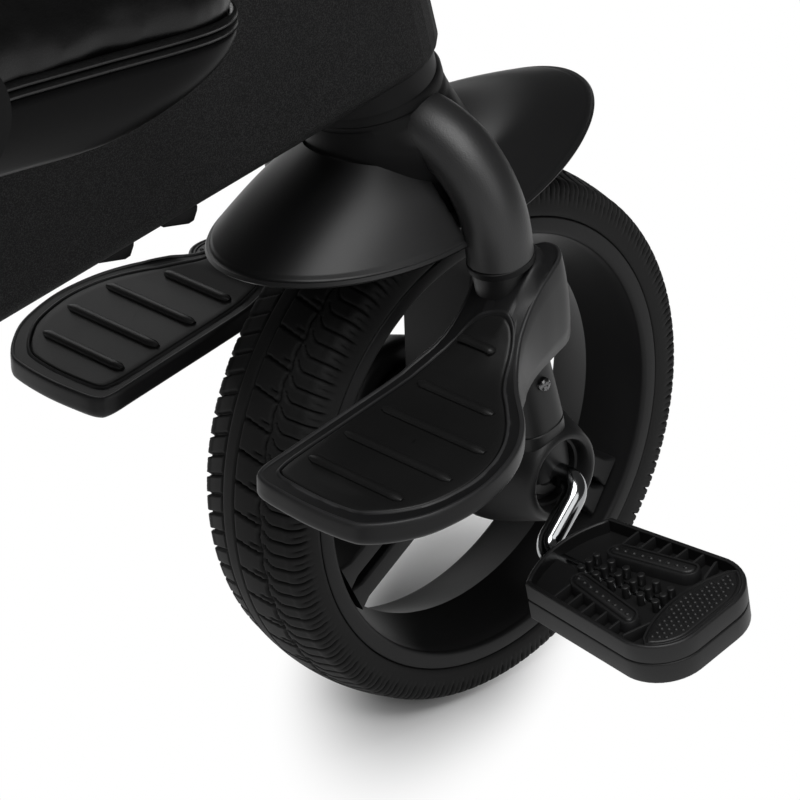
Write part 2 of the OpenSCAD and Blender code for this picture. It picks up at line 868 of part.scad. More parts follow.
module head_bearing_lower() {
    color("#303032") at_axle() difference() {
        rotate([0, -rake, 0]) translate([0, 0, crown_top + gap]) {
            cylinder(d = head_ring_d, h = beam_s - crown_top + head_cap_h);
            cylinder(d = head_sleeve_d, h = beam_s - crown_top + head_sleeve_l);
        }
        difference() {
            beam_solid();
            rotate([0, -rake, 0]) cylinder(d = head_sleeve_d, h = 2 * beam_top);
        }
        rotate([0, -rake, 0]) cylinder(d = steerer_d + 2 * run, h = 2 * beam_top);
    }
}

module head_bearing_upper() {
    color("#303032") at_axle() difference() {
        rotate([0, -rake, 0]) {
            translate([0, 0, beam_top - head_cap_h]) cylinder(d = head_cap_d, h = 2 * head_cap_h);
            translate([0, 0, beam_top - head_sleeve_l]) cylinder(d = head_sleeve_d, h = head_sleeve_l);
        }
        difference() {
            beam_solid();
            rotate([0, -rake, 0]) cylinder(d = head_sleeve_d, h = 2 * beam_top);
        }
        rotate([0, -rake, 0]) cylinder(d = steerer_d + 2 * run, h = 2 * beam_top);
    }
}

module beam_clips() {
    color("#1e1e1f") at_axle() difference() {
        for (x = clip_places, side = [-1, 1])
            translate([-x, side * (beam_w / 2 - beam_r - clip_w / 2), beam_foot_z - x * tan(beam_slope)])
                cube([clip_l, clip_w, 2 * clip_h], center = true);
        beam_solid();
    }
}

// Handlebar
module stem_cover() {
    foot = beam_top + head_cap_h + cover_gap;
    color("#2a2a2b") at_steer() difference() {
        translate([0, 0, foot])
            cylinder(d1 = head_cap_d, d2 = cover_top_d, h = bar_s - clamp_neck_h - foot);
        cylinder(d = steerer_d, h = bar_s);
    }
}

module bar_clamp() {
    color("#2f2f31") at_steer() difference() {
        union() {
            translate([0, 0, bar_s]) rotate([90, 0, 0]) cylinder(d = clamp_d, h = clamp_l, center = true);
            translate([0, 0, bar_s - clamp_neck_h]) cylinder(d = cover_top_d, h = clamp_neck_h);
        }
        translate([0, 0, bar_s]) rotate([90, 0, 0]) cylinder(d = bar_d, h = clamp_l + over, center = true);
        translate([0, 0, bar_s - clamp_neck_h - over]) cylinder(d = steerer_d, h = clamp_neck_h + over);
    }
}

// Frame of a side part of the handlebar, which runs along local Z from its bend
module at_bar_side() {
    translate([0, 0, bar_s]) rotate([0, bar_lift - 180, 0]) translate([0, bar_straight, 0])
        rotate([0, 0, -bar_turn]) rotate([-90, 0, 0]) children();
}

module handlebar() {
    color("#242425") at_steer() for (side = [0, 1]) mirror([0, side, 0]) {
        rod([0, 0, bar_s], [0, bar_straight, bar_s], bar_d);
        at_bar_side() {
            sphere(d = bar_d);
            cylinder(d = bar_d, h = bar_side_l);
        }
    }
}

module grip() {
    at_bar_side() translate([0, 0, bar_side_l - grip_l]) difference() {
        union() {
            cylinder(d = grip_d, h = grip_l);
            cylinder(d = grip_flange_d, h = grip_flange_t);
            translate([0, 0, grip_l]) cylinder(d1 = grip_flange_d, d2 = grip_d, h = 2 * grip_flange_t);
        }
        translate([0, 0, -over]) cylinder(d = bar_d, h = grip_l + over);
    }
}

module grip_right() { color("#1d1d1e") at_steer() right() grip(); }
module grip_left() { color("#1d1d1e") at_steer() grip(); }

// Seat
module pan_slab(l, w, z, h, shift) {
    for (x = [-1, 1], y = [-1, 1])
        translate([shift + x * (l / 2 - pan_round), y * (w / 2 - pan_round), z])
            cylinder(r = pan_round, h = h, $fn = blend_fn);
}

module pan_solid(inset) {
    hull() {
        pan_slab(seat_l - 2 * inset, seat_w - 2 * inset, seat_z - pan_rim_t, pan_rim_t - inset, 0);
        pan_slab(
            pan_foot_l - 2 * inset, pan_foot_w - 2 * inset, seat_z - seat_h + inset, pan_wall,
            -seat_l * pan_shift_share
        );
    }
}

module at_seat() { at_axle() translate([-seat_front - seat_l / 2, 0, 0]) children(); }
module at_hinge() { at_axle() translate([recline_x, 0, recline_z]) children(); }
module at_recline() { at_hinge() rotate([0, -back_lean, 0]) children(); }

module seat_pan() {
    ear_h = recline_up + seat_h / 2;
    ear_y = back_w / 2 + gap + recline_ear_t / 2;
    color("#1f1f20") difference() {
        union() {
            at_seat() difference() {
                pan_solid(0);
                pan_solid(pan_wall);
                translate([0, 0, seat_z - pan_rim_t]) cylinder(d = pan_hole_d, h = pan_rim_t + over);
            }
            at_hinge() for (side = [-1, 1]) translate([0, side * ear_y, 0]) {
                rotate([90, 0, 0]) cylinder(d = recline_knuckle_d, h = recline_ear_t, center = true);
                translate([-recline_knuckle_d / 2, -recline_ear_t / 2, -ear_h])
                    cube([recline_knuckle_d + recline_back, recline_ear_t, ear_h]);
            }
        }
        at_axle() beam_solid();
        at_hinge() rotate([90, 0, 0]) cylinder(d = recline_d, h = 2 * seat_w, center = true);
    }
}

// Cushion net: a rounded rectangle whose sides draw in, with a crowned top and sewn channels
function cushion_point(l, w, t, crown, u, j) = let (
    a = j * 360 / cushion_steps,
    k = pow(pow(abs(cos(a)), cushion_power) + pow(abs(sin(a)), cushion_power), -1 / cushion_power),
    pinch = 1 - cushion_pinch_share * (1 - pow(sin(2 * a), 2)),
    x = l / 2 * k * cos(a) * u * pinch,
    y = w / 2 * k * sin(a) * u * pinch,
    edge = pow(u, 4),
    wave = channel_depth * pow(abs(cos(180 * channel_count * (x / l + 1 / 2))), channel_power) * (1 - edge)
) [x, y, u == 1 ? t * seam_share : t + crown * (1 - edge) - wave];

function cushion_faces(n, m) = let (low = (n + 1) * m, top = low + m, foot = top + 1) concat(
    [for (j = [0 : m - 1]) [top, (j + 1) % m, j]],
    [for (i = [0 : n], j = [0 : m - 1], k = [0, 1])
        let (a = i * m + j, b = i * m + (j + 1) % m)
        k == 0 ? [a, b + m, a + m] : [a, b, b + m]],
    [for (j = [0 : m - 1]) [foot, low + j, low + (j + 1) % m]]
);

module cushion(l, w, t, crown) {
    rings = len(ring_shares) - 1;
    top = [for (u = ring_shares, j = [0 : cushion_steps - 1]) cushion_point(l, w, t, crown, u, j)];
    foot = [for (j = [0 : cushion_steps - 1])
        let (p = top[rings * cushion_steps + j]) [p[0] * foot_share, p[1] * foot_share, 0]];
    middle = cushion_point(l, w, t, crown, 0, 0);
    polyhedron(concat(top, foot, [middle, [0, 0, 0]]), cushion_faces(rings, cushion_steps));
}

module seat_cushion() {
    color("#19191a") at_seat() translate([0, 0, seat_z + soft_gap])
        cushion(seat_l - 2 * cushion_inset, seat_w - 2 * cushion_inset, cushion_t, cushion_crown);
}

module back_plate(t) {
    rotate([0, -90, 0]) linear_extrude(t) {
        for (y = [-1, 1])
            translate([back_h - back_corner_r, y * (back_w / 2 - back_corner_r)]) circle(back_corner_r);
        translate([0, -back_w / 2]) square([back_h - back_corner_r, back_w]);
        translate([0, back_corner_r - back_w / 2]) square([back_h, back_w - 2 * back_corner_r]);
    }
}

module back_shell() {
    color("#232324") at_recline() difference() {
        union() {
            back_plate(back_t);
            rotate([90, 0, 0]) cylinder(d = recline_knuckle_d, h = back_w, center = true);
        }
        rotate([90, 0, 0]) cylinder(d = recline_d + 2 * run, h = back_w + over, center = true);
    }
}

module back_cushion() {
    l = back_h - recline_knuckle_d / 2 - 2 * back_foot_gap;
    middle = back_h - back_foot_gap / 2 - l / 2;
    color("#19191a") at_recline() translate([soft_gap, 0, middle]) rotate([0, 90, 0])
        cushion(l, back_w - 2 * cushion_inset, back_cushion_t, back_cushion_crown);
}

module recline_pins() {
    l = recline_ear_t + 2 * recline_knuckle_d;
    color("silver") at_hinge() for (side = [-1, 1])
        translate([0, side * (back_w / 2 + gap + recline_ear_t - l / 2), 0]) rotate([90, 0, 0])
            cylinder(d = recline_d, h = l, center = true);
}

// Guard bar
module at_hoop() { at_axle() translate([-hoop_back, 0, seat_z + hoop_lift]) children(); }

module guard_socket() {
    at_hoop() difference() {
        translate([0, socket_y, 0]) rotate([-90, 0, 0]) cylinder(d = socket_d, h = socket_t);
        translate([hoop_back - seat_front - seat_l / 2, 0, -seat_z - hoop_lift]) pan_solid(0);
        translate([0, socket_y + pan_round, 0]) rotate([-90, 0, 0])
            cylinder(d = hoop_d + 2 * run, h = socket_t);
    }
}

module guard_socket_right() { color("#262627") right() guard_socket(); }
module guard_socket_left() { color("#262627") guard_socket(); }

module hoop_half(d) {
    r = 2 * hoop_d;
    rod([0, hoop_y, 0], [0, hoop_y, hoop_h - r], d);
    translate([r, hoop_y, hoop_h - r]) rotate([90, 0, 0])
        rotate_extrude(angle = 90, start = 90) translate([r, 0]) circle(d = d);
    rod([r, hoop_y, hoop_h], [hoop_l - 2 * r, hoop_y, hoop_h], d);
    translate([hoop_l - 2 * r, hoop_y - 2 * r, hoop_h])
        rotate_extrude(angle = 90) translate([2 * r, 0]) circle(d = d);
    rod([hoop_l, 0, hoop_h], [hoop_l, hoop_y - 2 * r, hoop_h], d);
}

module guard_bar() {
    color("#2b2b2c") at_hoop() for (side = [0, 1]) mirror([0, side, 0]) {
        hoop_half(hoop_d);
        translate([0, hoop_y, 0]) sphere(d = hoop_d);
        rod([0, socket_y + pan_round + gap, 0], [0, hoop_y, 0], hoop_d);
    }
}

module guard_foam() {
    l = 2 * (hoop_y - 4 * hoop_d);
    color("#1c1c1d") at_hoop() translate([hoop_l, 0, hoop_h]) rotate([90, 0, 0]) difference() {
        cylinder(d = foam_d, h = l, center = true);
        cylinder(d = hoop_d, h = l + over, center = true);
    }
}

// Rear end
module at_rear() { translate([axle_x - wheelbase, 0, rear_axle_z]) children(); }

module rear_post() {
    end_z = beam_foot_z - beam_end * tan(beam_slope) + beam_h / 2;
    color("#232324") difference() {
        union() {
            hull() {
                at_axle() translate([beam_r - beam_end, 0, end_z])
                    cube([2 * beam_r, post_w, beam_h - 2 * beam_r], center = true);
                at_rear() rotate([90, 0, 0])
                    cylinder(d = post_t, h = post_w, center = true, $fn = blend_fn);
            }
            at_push() translate([0, 0, -boss_floor]) cylinder(d = boss_d, h = boss_h);
        }
        at_axle() beam_solid();
        at_rear() rotate([90, 0, 0]) cylinder(d = housing_d, h = housing_l, center = true);
        push_hole();
    }
}

module axle_housing() {
    color("#252526") difference() {
        union() {
            at_rear() rotate([90, 0, 0]) cylinder(d = housing_d, h = housing_l, center = true);
            at_brake() for (side = [-1, 1])
                translate([0, side * (brake_w / 2 + gap + brake_lug_t / 2), 0]) {
                    rotate([90, 0, 0]) cylinder(d = 2 * brake_pin_d, h = brake_lug_t, center = true);
                    translate([brake_back / 2, 0, 0])
                        cube([brake_back, brake_lug_t, 2 * brake_pin_d], center = true);
                }
        }
        at_rear() rotate([90, 0, 0]) cylinder(d = axle_d, h = housing_l + over, center = true);
        at_brake() rotate([90, 0, 0]) cylinder(d = brake_pin_d, h = 2 * brake_w, center = true);
    }
}

module rear_axle() {
    l = 2 * (rear_y + rear_w / 2 + nut_t);
    color("silver") at_rear() rotate([90, 0, 0]) cylinder(d = axle_d, h = l, center = true);
}

module axle_nuts() {
    color("gray") at_rear() for (side = [-1, 1])
        translate([0, side * (rear_y + rear_w / 2 + nut_t / 2 + gap), 0]) rotate([90, 0, 0]) difference() {
            cylinder(d = nut_d, h = nut_t, center = true);
            cylinder(d = axle_d, h = nut_t + over, center = true);
        }
}

module at_rear_wheel(side) { at_rear() translate([0, side * rear_y, 0]) children(); }

module rear_tyre() { tyre(rear_d, rear_w, rear_d * rear_flange_share, rear_d * rear_seat_share); }

module rear_rim() {
    rim(
        rear_w, rear_d * rear_flange_share, rear_d * rear_seat_share, rear_d * rear_lip_share,
        rear_d * rear_waist_share, rear_hub_d, rear_w, axle_d + 2 * run, 0
    );
}

module rear_tyre_right() { color("#1b1b1c") at_rear_wheel(-1) rear_tyre(); }
module rear_tyre_left() { color("#1b1b1c") at_rear_wheel(1) rear_tyre(); }
module rear_rim_right() { color("#2b2b2d") at_rear_wheel(-1) rear_rim(); }
module rear_rim_left() { color("#2b2b2d") at_rear_wheel(1) rear_rim(); }

module hub_cap() {
    translate([0, rear_w / 2, 0]) rotate([-90, 0, 0]) difference() {
        cylinder(d1 = rear_hub_d, d2 = rear_hub_d - 2 * cap_wall, h = cap_h);
        translate([0, 0, -over]) cylinder(d = nut_d + 2 * cap_wall, h = cap_h - cap_wall + over);
    }
}

module hub_cap_right() { color("#343436") at_rear_wheel(-1) right() hub_cap(); }
module hub_cap_left() { color("#343436") at_rear_wheel(1) hub_cap(); }

module at_brake() { at_rear() translate([-brake_back, 0, brake_drop]) children(); }

module brake_pedal() {
    color("#303032") at_brake() difference() {
        union() {
            rotate([90, 0, 0]) cylinder(d = 2 * brake_pin_d, h = brake_w, center = true);
            translate([-brake_l, -brake_w / 2, 0]) cube([brake_l, brake_w, brake_t]);
            translate([-brake_l, 0, brake_t / 2]) rotate([90, 0, 0])
                cylinder(d = brake_t, h = brake_w, center = true);
        }
        rotate([90, 0, 0]) cylinder(d = brake_pin_d + 2 * run, h = brake_w + over, center = true);
    }
}

module brake_pin() {
    color("silver") at_brake() rotate([90, 0, 0])
        cylinder(d = brake_pin_d, h = brake_w + 2 * (brake_lug_t + gap), center = true);
}

// Push handle
module at_push() {
    at_axle() translate([-push_base_behind, 0, push_base_z]) rotate([0, -push_lean, 0]) children();
}

module push_hole() { at_push() cylinder(d = push_d, h = push_low_l); }

module push_socket() {
    color("#252526") at_push() difference() {
        cylinder(d = push_d, h = push_low_l);
        translate([0, 0, push_wall]) cylinder(d = push_d - 2 * push_wall, h = push_low_l);
    }
}

module push_tube() {
    d = push_d - 2 * push_wall - 2 * run;
    l = push_in_l + push_up_l - push_bar_d / 2;
    color("#2f2f31") at_push() translate([0, 0, push_low_l - push_in_l]) difference() {
        cylinder(d = d, h = l);
        translate([0, 0, -over]) cylinder(d = d - 2 * tube_wall, h = l + 2 * over);
    }
}

module push_bar() {
    color("#2a2a2b") at_push() translate([0, 0, push_len]) difference() {
        union() {
            rotate([90, 0, 0]) cylinder(d = push_bar_d, h = push_w, center = true);
            rotate([90, 0, 0]) cylinder(d = tee_d, h = tee_l, center = true);
            translate([0, 0, -tee_l]) cylinder(d = tee_d, h = tee_l);
        }
        translate([0, 0, -push_bar_d / 2 - push_up_l])
            cylinder(d = push_d - 2 * push_wall - 2 * run, h = push_up_l);
    }
}

module push_grip() {
    l = push_w / 2 - tee_l / 2;
    color("#1d1d1e") at_push() translate([0, 0, push_len]) for (side = [-1, 1])
        translate([0, side * (tee_l / 2 + l / 2), 0]) rotate([90, 0, 0]) difference() {
            cylinder(d = push_grip_d, h = l, center = true);
            cylinder(d = push_bar_d, h = l + over, center = true);
        }
}

module push_collar() {
    color("#303032") at_push() translate([0, 0, push_low_l - collar_h]) difference() {
        cylinder(d = collar_d, h = collar_h);
        translate([0, 0, -over]) cylinder(d = push_d, h = collar_h + 2 * over);
        translate([0, 0, collar_h / 2]) rotate([0, -90, 0]) cylinder(d = button_d + 2 * run, h = collar_d);
    }
}

module height_button() {
    reach = collar_d / 2 + button_h - push_d / 2 - button_travel - gap;
    color("#5a5a5c") at_push() translate([-push_d / 2 - gap - button_travel, 0, push_low_l - collar_h / 2])
        rotate([0, -90, 0]) cylinder(d = button_d, h = reach);
}

front_tyre();
front_rim();
crank_axle();
pedal_base_right();
pedal_deck_right();
pedal_base_left();
pedal_deck_left();
fork_bow();
fork_crown();
steerer_tube();
mudguard();
fork_leg_right();
fork_leg_left();
hub_bush_right();
hub_bush_left();
footrest_right();
footrest_left();
footrest_pad_right();
footrest_pad_left();
leg_screws();
main_beam();
head_bearing_lower();
head_bearing_upper();
beam_clips();
stem_cover();
bar_clamp();
handlebar();
grip_right();
grip_left();
seat_pan();
seat_cushion();
back_shell();
back_cushion();
recline_pins();
guard_socket_right();
guard_socket_left();
guard_bar();
guard_foam();
rear_post();
axle_housing();
rear_axle();
axle_nuts();
rear_tyre_right();
rear_tyre_left();
rear_rim_right();
rear_rim_left();
hub_cap_right();
hub_cap_left();
brake_pedal();
brake_pin();
push_socket();
push_tube();
push_bar();
push_grip();
push_collar();
height_button();
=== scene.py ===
import math

import bmesh
import bpy
import numpy as np
from mathutils import Matrix, Vector


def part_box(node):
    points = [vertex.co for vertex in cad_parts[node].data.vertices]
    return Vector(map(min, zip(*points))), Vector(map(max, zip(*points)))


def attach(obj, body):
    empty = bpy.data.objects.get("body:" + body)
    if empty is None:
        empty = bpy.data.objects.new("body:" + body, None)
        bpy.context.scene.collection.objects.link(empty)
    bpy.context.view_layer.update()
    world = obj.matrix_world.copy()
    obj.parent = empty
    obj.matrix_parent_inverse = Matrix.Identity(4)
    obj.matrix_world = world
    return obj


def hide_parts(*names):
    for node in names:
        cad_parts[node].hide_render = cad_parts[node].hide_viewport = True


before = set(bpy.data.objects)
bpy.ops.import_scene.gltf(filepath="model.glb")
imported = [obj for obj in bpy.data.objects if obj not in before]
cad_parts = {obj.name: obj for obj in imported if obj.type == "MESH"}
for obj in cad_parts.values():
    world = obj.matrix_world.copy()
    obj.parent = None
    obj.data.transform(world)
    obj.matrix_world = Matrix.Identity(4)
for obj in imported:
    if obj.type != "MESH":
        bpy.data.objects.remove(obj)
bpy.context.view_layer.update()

# Camera
# The view stands behind the trike's right side, above its seat, and looks down at the front wheel.
# A long lens takes in the front end only, so the seat and the beam run out of the picture.
CAMERA_STAND = Vector((-1.03215, -1.03640, 0.70037))
VIEW_RIGHT = Vector((0.72045, -0.69351, 0.0))
VIEW_UP = Vector((0.29452, 0.30596, 0.90535))
VIEW_BACK = Vector((-0.62788, -0.65224, 0.42467))
tyre_low, tyre_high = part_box("front_tyre")
front_axle = np.array((tyre_low + tyre_high) / 2)
scene = bpy.context.scene
scene.view_settings.view_transform = "Standard"
camera_data = bpy.data.cameras.new("camera")
camera_data.sensor_width = 36.0
camera_data.lens = 145.83
camera = bpy.data.objects.new("camera", camera_data)
camera_turn = Matrix((VIEW_RIGHT, VIEW_UP, VIEW_BACK)).transposed().to_4x4()
camera.matrix_world = Matrix.Translation(Vector(front_axle) + CAMERA_STAND) @ camera_turn
scene.collection.objects.link(camera)
scene.camera = camera

# Studio floor and lights
# A white floor runs to the horizon in a dark room, and keeps the object's shadow round each wheel only.
# One wide soft lamp stands overhead, a little behind and to the right, and three soft boxes draw highlights.
FLOOR_HALF = 30.0
FLOOR_COLOUR = (0.9, 0.9, 0.9, 1.0)
ROOM_COLOUR = (0.06, 0.06, 0.06, 1.0)
SHADOW_TURN = math.radians(35)
SHADOW_CORE = 0.45
SHADOW_END = 1.25
# Each shadow that is kept: its wheel, its middle ahead of and beside the wheel's foot, and its half sizes
SHADOWS = [
    ("front_tyre", 0.04, 0.045, 0.18, 0.064), ("rear_tyre_right", 0.02, 0.01, 0.15, 0.08),
    ("rear_tyre_left", 0.02, 0.01, 0.15, 0.08),
]


def add_node(tree, kind, links=(), **settings):
    """A node with its settings; links pairs an input's name or number with a socket or a value."""
    node = tree.nodes.new(kind)
    for label, value in settings.items():
        setattr(node, label, value)
    for place, source in links:
        if isinstance(source, bpy.types.NodeSocket):
            tree.links.new(source, node.inputs[place])
        else:
            node.inputs[place].default_value = source
    return node


def maths(tree, operation, *values, kind="ShaderNodeMath", out=0):
    """A maths node on sockets or numbers."""
    return add_node(tree, kind, list(enumerate(values)), operation=operation).outputs[out]


corners = [(-1, -1), (1, -1), (1, 1), (-1, 1)]
floor_mesh = bpy.data.meshes.new("studio_floor")
floor_mesh.from_pydata([(x * FLOOR_HALF, y * FLOOR_HALF, 0.0) for x, y in corners], [], [(0, 1, 2, 3)])
floor_finish = bpy.data.materials.new("studio_floor")
floor_finish.use_nodes = True
floor_tree = floor_finish.node_tree
floor_shade = floor_tree.nodes["Principled BSDF"]
floor_shade.inputs["Base Color"].default_value = FLOOR_COLOUR
floor_shade.inputs["Roughness"].default_value = 1.0
floor_shade.inputs["Specular IOR Level"].default_value = 0.0
floor_place = add_node(floor_tree, "ShaderNodeNewGeometry").outputs["Position"]
floor_clear = 1.0
for wheel, ahead, aside, half_l, half_w in SHADOWS:
    wheel_low, wheel_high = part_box(wheel)
    foot = ((wheel_low[0] + wheel_high[0]) / 2 + ahead, (wheel_low[1] + wheel_high[1]) / 2 + aside, 0.0)
    away = maths(floor_tree, "SUBTRACT", floor_place, foot, kind="ShaderNodeVectorMath")
    turning = [("Vector", away), ("Angle", -SHADOW_TURN)]
    away = add_node(floor_tree, "ShaderNodeVectorRotate", turning, rotation_type="Z_AXIS").outputs[0]
    away = maths(floor_tree, "DIVIDE", away, (half_l, half_w, 1.0), kind="ShaderNodeVectorMath")
    away = maths(floor_tree, "LENGTH", away, kind="ShaderNodeVectorMath", out="Value")
    ends = [("Value", away), ("From Min", SHADOW_CORE), ("From Max", SHADOW_END)]
    fade = add_node(floor_tree, "ShaderNodeMapRange", ends, interpolation_type="SMOOTHSTEP").outputs[0]
    floor_clear = maths(floor_tree, "MINIMUM", fade, floor_clear)
floor_ray = add_node(floor_tree, "ShaderNodeLightPath").outputs
floor_seen = maths(floor_tree, "MAXIMUM", floor_ray["Is Camera Ray"], floor_ray["Is Glossy Ray"])
floor_seen = maths(floor_tree, "MAXIMUM", floor_seen, floor_ray["Is Transmission Ray"])
floor_white = maths(floor_tree, "MULTIPLY", floor_clear, floor_seen)
floor_glow = add_node(floor_tree, "ShaderNodeEmission", [("Strength", 1.0)])
floor_mix = add_node(
    floor_tree, "ShaderNodeMixShader",
    [(0, floor_white), (1, floor_shade.outputs[0]), (2, floor_glow.outputs[0])],
)
floor_tree.links.new(floor_mix.outputs[0], floor_tree.nodes["Material Output"].inputs["Surface"])
floor_mesh.materials.append(floor_finish)
studio_floor = bpy.data.objects.new("studio_floor", floor_mesh)
scene.collection.objects.link(studio_floor)

room = bpy.data.worlds.new("studio_room")
room.use_nodes = True
room.node_tree.nodes["Background"].inputs["Color"].default_value = ROOM_COLOUR
scene.world = room


def soft_lamp(name, kind, aim_from, strength, size):
    """A lamp that shines on the front wheel from the given offset; size is its angle or its width."""
    lamp = bpy.data.lights.new(name, kind)
    lamp.energy = strength
    if kind == "SUN":
        lamp.angle = size
    else:
        lamp.shape = "DISK"
        lamp.size = size
    stand = bpy.data.objects.new(name, lamp)
    offset = Vector(aim_from)
    stand.location = Vector(front_axle) + offset
    stand.rotation_mode = "QUATERNION"
    stand.rotation_quaternion = offset.to_track_quat("Z", "Y")
    scene.collection.objects.link(stand)


soft_lamp("overhead_lamp", "SUN", (-0.4, -0.3, 1.0), 3.3, math.radians(44))
soft_lamp("right_soft_box", "AREA", (-0.35, -1.9, 0.95), 9.0, 1.3)
soft_lamp("rear_soft_box", "AREA", (-2.0, 0.2, 1.1), 3.0, 1.0)
soft_lamp("left_soft_box", "AREA", (0.9, 1.9, 0.95), 5.5, 1.3)

# Front rim
# One black injection moulding: a tapered barrel with a lip at each side, three twin spokes and the hub.
# The spokes are deep walls, drafted towards the mould's parting line, which shows as a crease inside.
MM = 0.001
FRONT_RIM = dict(
    flange=117.5, seat=112.5, lip=108.5, crease=99.6, hub=25.0, half_w=32.5, hub_half=31.0, bore=6.0,
    start=math.radians(-32), bar=11.0, slot=5.0, steps=256,
)
SPOKES = 3
SPOKE_SUNK = 2.0
SPOKE_FLARE = 7.0
SPOKE_FLARE_W = 2.5
SPOKE_SOFT = 1.6
SPOKE_ROOT_SHARE = 0.62
SPOKE_TIP_SHARE = 0.8


def socket_value(value):
    """A number as it is, and a colour with its alpha."""
    return value if isinstance(value, float) else (*value, 1.0)


def effect_group(name, **inputs):
    """An empty shader group with the given inputs: its tree, their sockets and the place on the piece."""
    tree = bpy.data.node_groups.new(name, "ShaderNodeTree")
    for label, value in inputs.items():
        kind = "NodeSocketFloat" if isinstance(value, float) else "NodeSocketColor"
        label = label.replace("_", " ").title()
        socket = tree.interface.new_socket(label, in_out="INPUT", socket_type=kind)
        socket.default_value = socket_value(value)
    for label, kind in (("Colour", "Color"), ("Roughness", "Float"), ("Height", "Float")):
        tree.interface.new_socket(label, in_out="OUTPUT", socket_type="NodeSocket" + kind)
    where = add_node(tree, "ShaderNodeTexCoord").outputs["Object"]
    return tree, tree.nodes.new("NodeGroupInput").outputs, where


def end_group(tree, colour, roughness, height):
    """Feeds the three outputs of a shader group."""
    add_node(tree, "NodeGroupOutput", [("Colour", colour), ("Roughness", roughness), ("Height", height)])


def noise(tree, where, scale, detail=3.0):
    """Noise over the piece at that scale, as a value from 0 to 1."""
    links = [("Vector", where), ("Scale", scale), ("Detail", detail)]
    return add_node(tree, "ShaderNodeTexNoise", links).outputs[0]


def tint(tree, factor, low, high):
    """A colour between two others."""
    links = [("Factor", factor), ("A", low), ("B", high)]
    return add_node(tree, "ShaderNodeMix", links, data_type="RGBA").outputs["Result"]


def spread(tree, factor, low=0.0, high=1.0, start=0.0, stop=1.0):
    """A value that goes from low to high as the factor goes from start to stop."""
    links = [("Value", factor), ("From Min", start), ("From Max", stop), ("To Min", low), ("To Max", high)]
    return add_node(tree, "ShaderNodeMapRange", links).outputs[0]


# Moulded finish: fine spark-eroded grain, uneven gloss, and edges painted paler as wear and as highlight
moulded, mould, mould_where = effect_group(
    "moulded_finish", colour=(0.0035, 0.0035, 0.0036), edge_colour=(0.012, 0.012, 0.0123), grain=2600.0,
    gloss_low=0.42, gloss_high=0.55, wear=0.5,
)
mould_cloud = noise(moulded, mould_where, 18.0)
mould_speck = noise(moulded, mould_where, mould["Grain"], 2.0)
mould_edge = add_node(moulded, "ShaderNodeNewGeometry").outputs["Pointiness"]
# Paler convex edges: partly rubbed wear, partly a painted highlight where light catches the edges
mould_wear_and_highlight = spread(moulded, mould_edge, 0.0, mould["Wear"], 0.515, 0.60)
mould_wear_and_highlight = maths(moulded, "MULTIPLY", mould_wear_and_highlight, spread(moulded, mould_cloud, 0.4, 1.3))
mould_tone = tint(moulded, spread(moulded, mould_cloud, 0.0, 0.12), mould["Colour"], mould["Edge Colour"])
mould_gloss = maths(moulded, "MULTIPLY", mould_cloud, 0.7)
mould_gloss = maths(moulded, "ADD", mould_gloss, maths(moulded, "MULTIPLY", mould_speck, 0.3))
end_group(
    moulded, tint(moulded, mould_wear_and_highlight, mould_tone, mould["Edge Colour"]),
    spread(moulded, mould_gloss, mould["Gloss Low"], mould["Gloss High"]), mould_speck,
)


def finish(name, effect, bump_depth, specular=0.5, metallic=0.0, gloss=(), **values):
    """A material: an effect group with the given values feeds the shader's colour, roughness and bump."""
    material = bpy.data.materials.new(name)
    material.use_nodes = True
    tree = material.node_tree
    shade = tree.nodes["Principled BSDF"]
    surface = add_node(tree, "ShaderNodeGroup", node_tree=effect)
    values.update(zip(("gloss_low", "gloss_high"), gloss))
    for label, value in values.items():
        surface.inputs[label.replace("_", " ").title()].default_value = socket_value(value)
    bump_links = [("Height", surface.outputs["Height"]), ("Distance", bump_depth)]
    bump = add_node(tree, "ShaderNodeBump", bump_links)
    tree.links.new(surface.outputs["Colour"], shade.inputs["Base Color"])
    tree.links.new(surface.outputs["Roughness"], shade.inputs["Roughness"])
    tree.links.new(bump.outputs["Normal"], shade.inputs["Normal"])
    shade.inputs["Specular IOR Level"].default_value = specular
    shade.inputs["Metallic"].default_value = metallic
    return material


def full_turn(steps):
    """Evenly spaced angles of a full turn."""
    return np.arange(steps) * 2 * math.pi / steps


def loft(loops, caps=True, ring=False):
    """Points and faces of a skin over loops of points; a ring also joins the last loop to the first."""
    loops = np.asarray(loops, float)
    count, steps = loops.shape[:2]
    faces = []
    for i in range(count if ring else count - 1):
        low, high = i * steps, (i + 1) % count * steps
        faces += [(low + j, low + (j + 1) % steps, high + (j + 1) % steps, high + j) for j in range(steps)]
    if caps and not ring:
        faces += [tuple(range(steps)), tuple(range((count - 1) * steps, count * steps))]
    return loops.reshape(-1, 3), faces


def lathe(profile, steps, ring=False):
    """Points and faces of a profile of (radius, place) pairs turned about the local Y axis."""
    turns = full_turn(steps)
    return loft([[(r * math.cos(a), y, r * math.sin(a)) for a in turns] for r, y in profile], ring=ring)


def joined(shapes):
    """One set of points and faces from several."""
    points, faces, start = [], [], 0
    for some_points, some_faces in shapes:
        points.append(some_points)
        faces += [tuple(i + start for i in face) for face in some_faces]
        start += len(some_points)
    return np.concatenate(points), faces


def at_axle(points):
    """Millimetres from the front axle to the trike's own frame in metres."""
    return front_axle + np.asarray(points, float) * MM


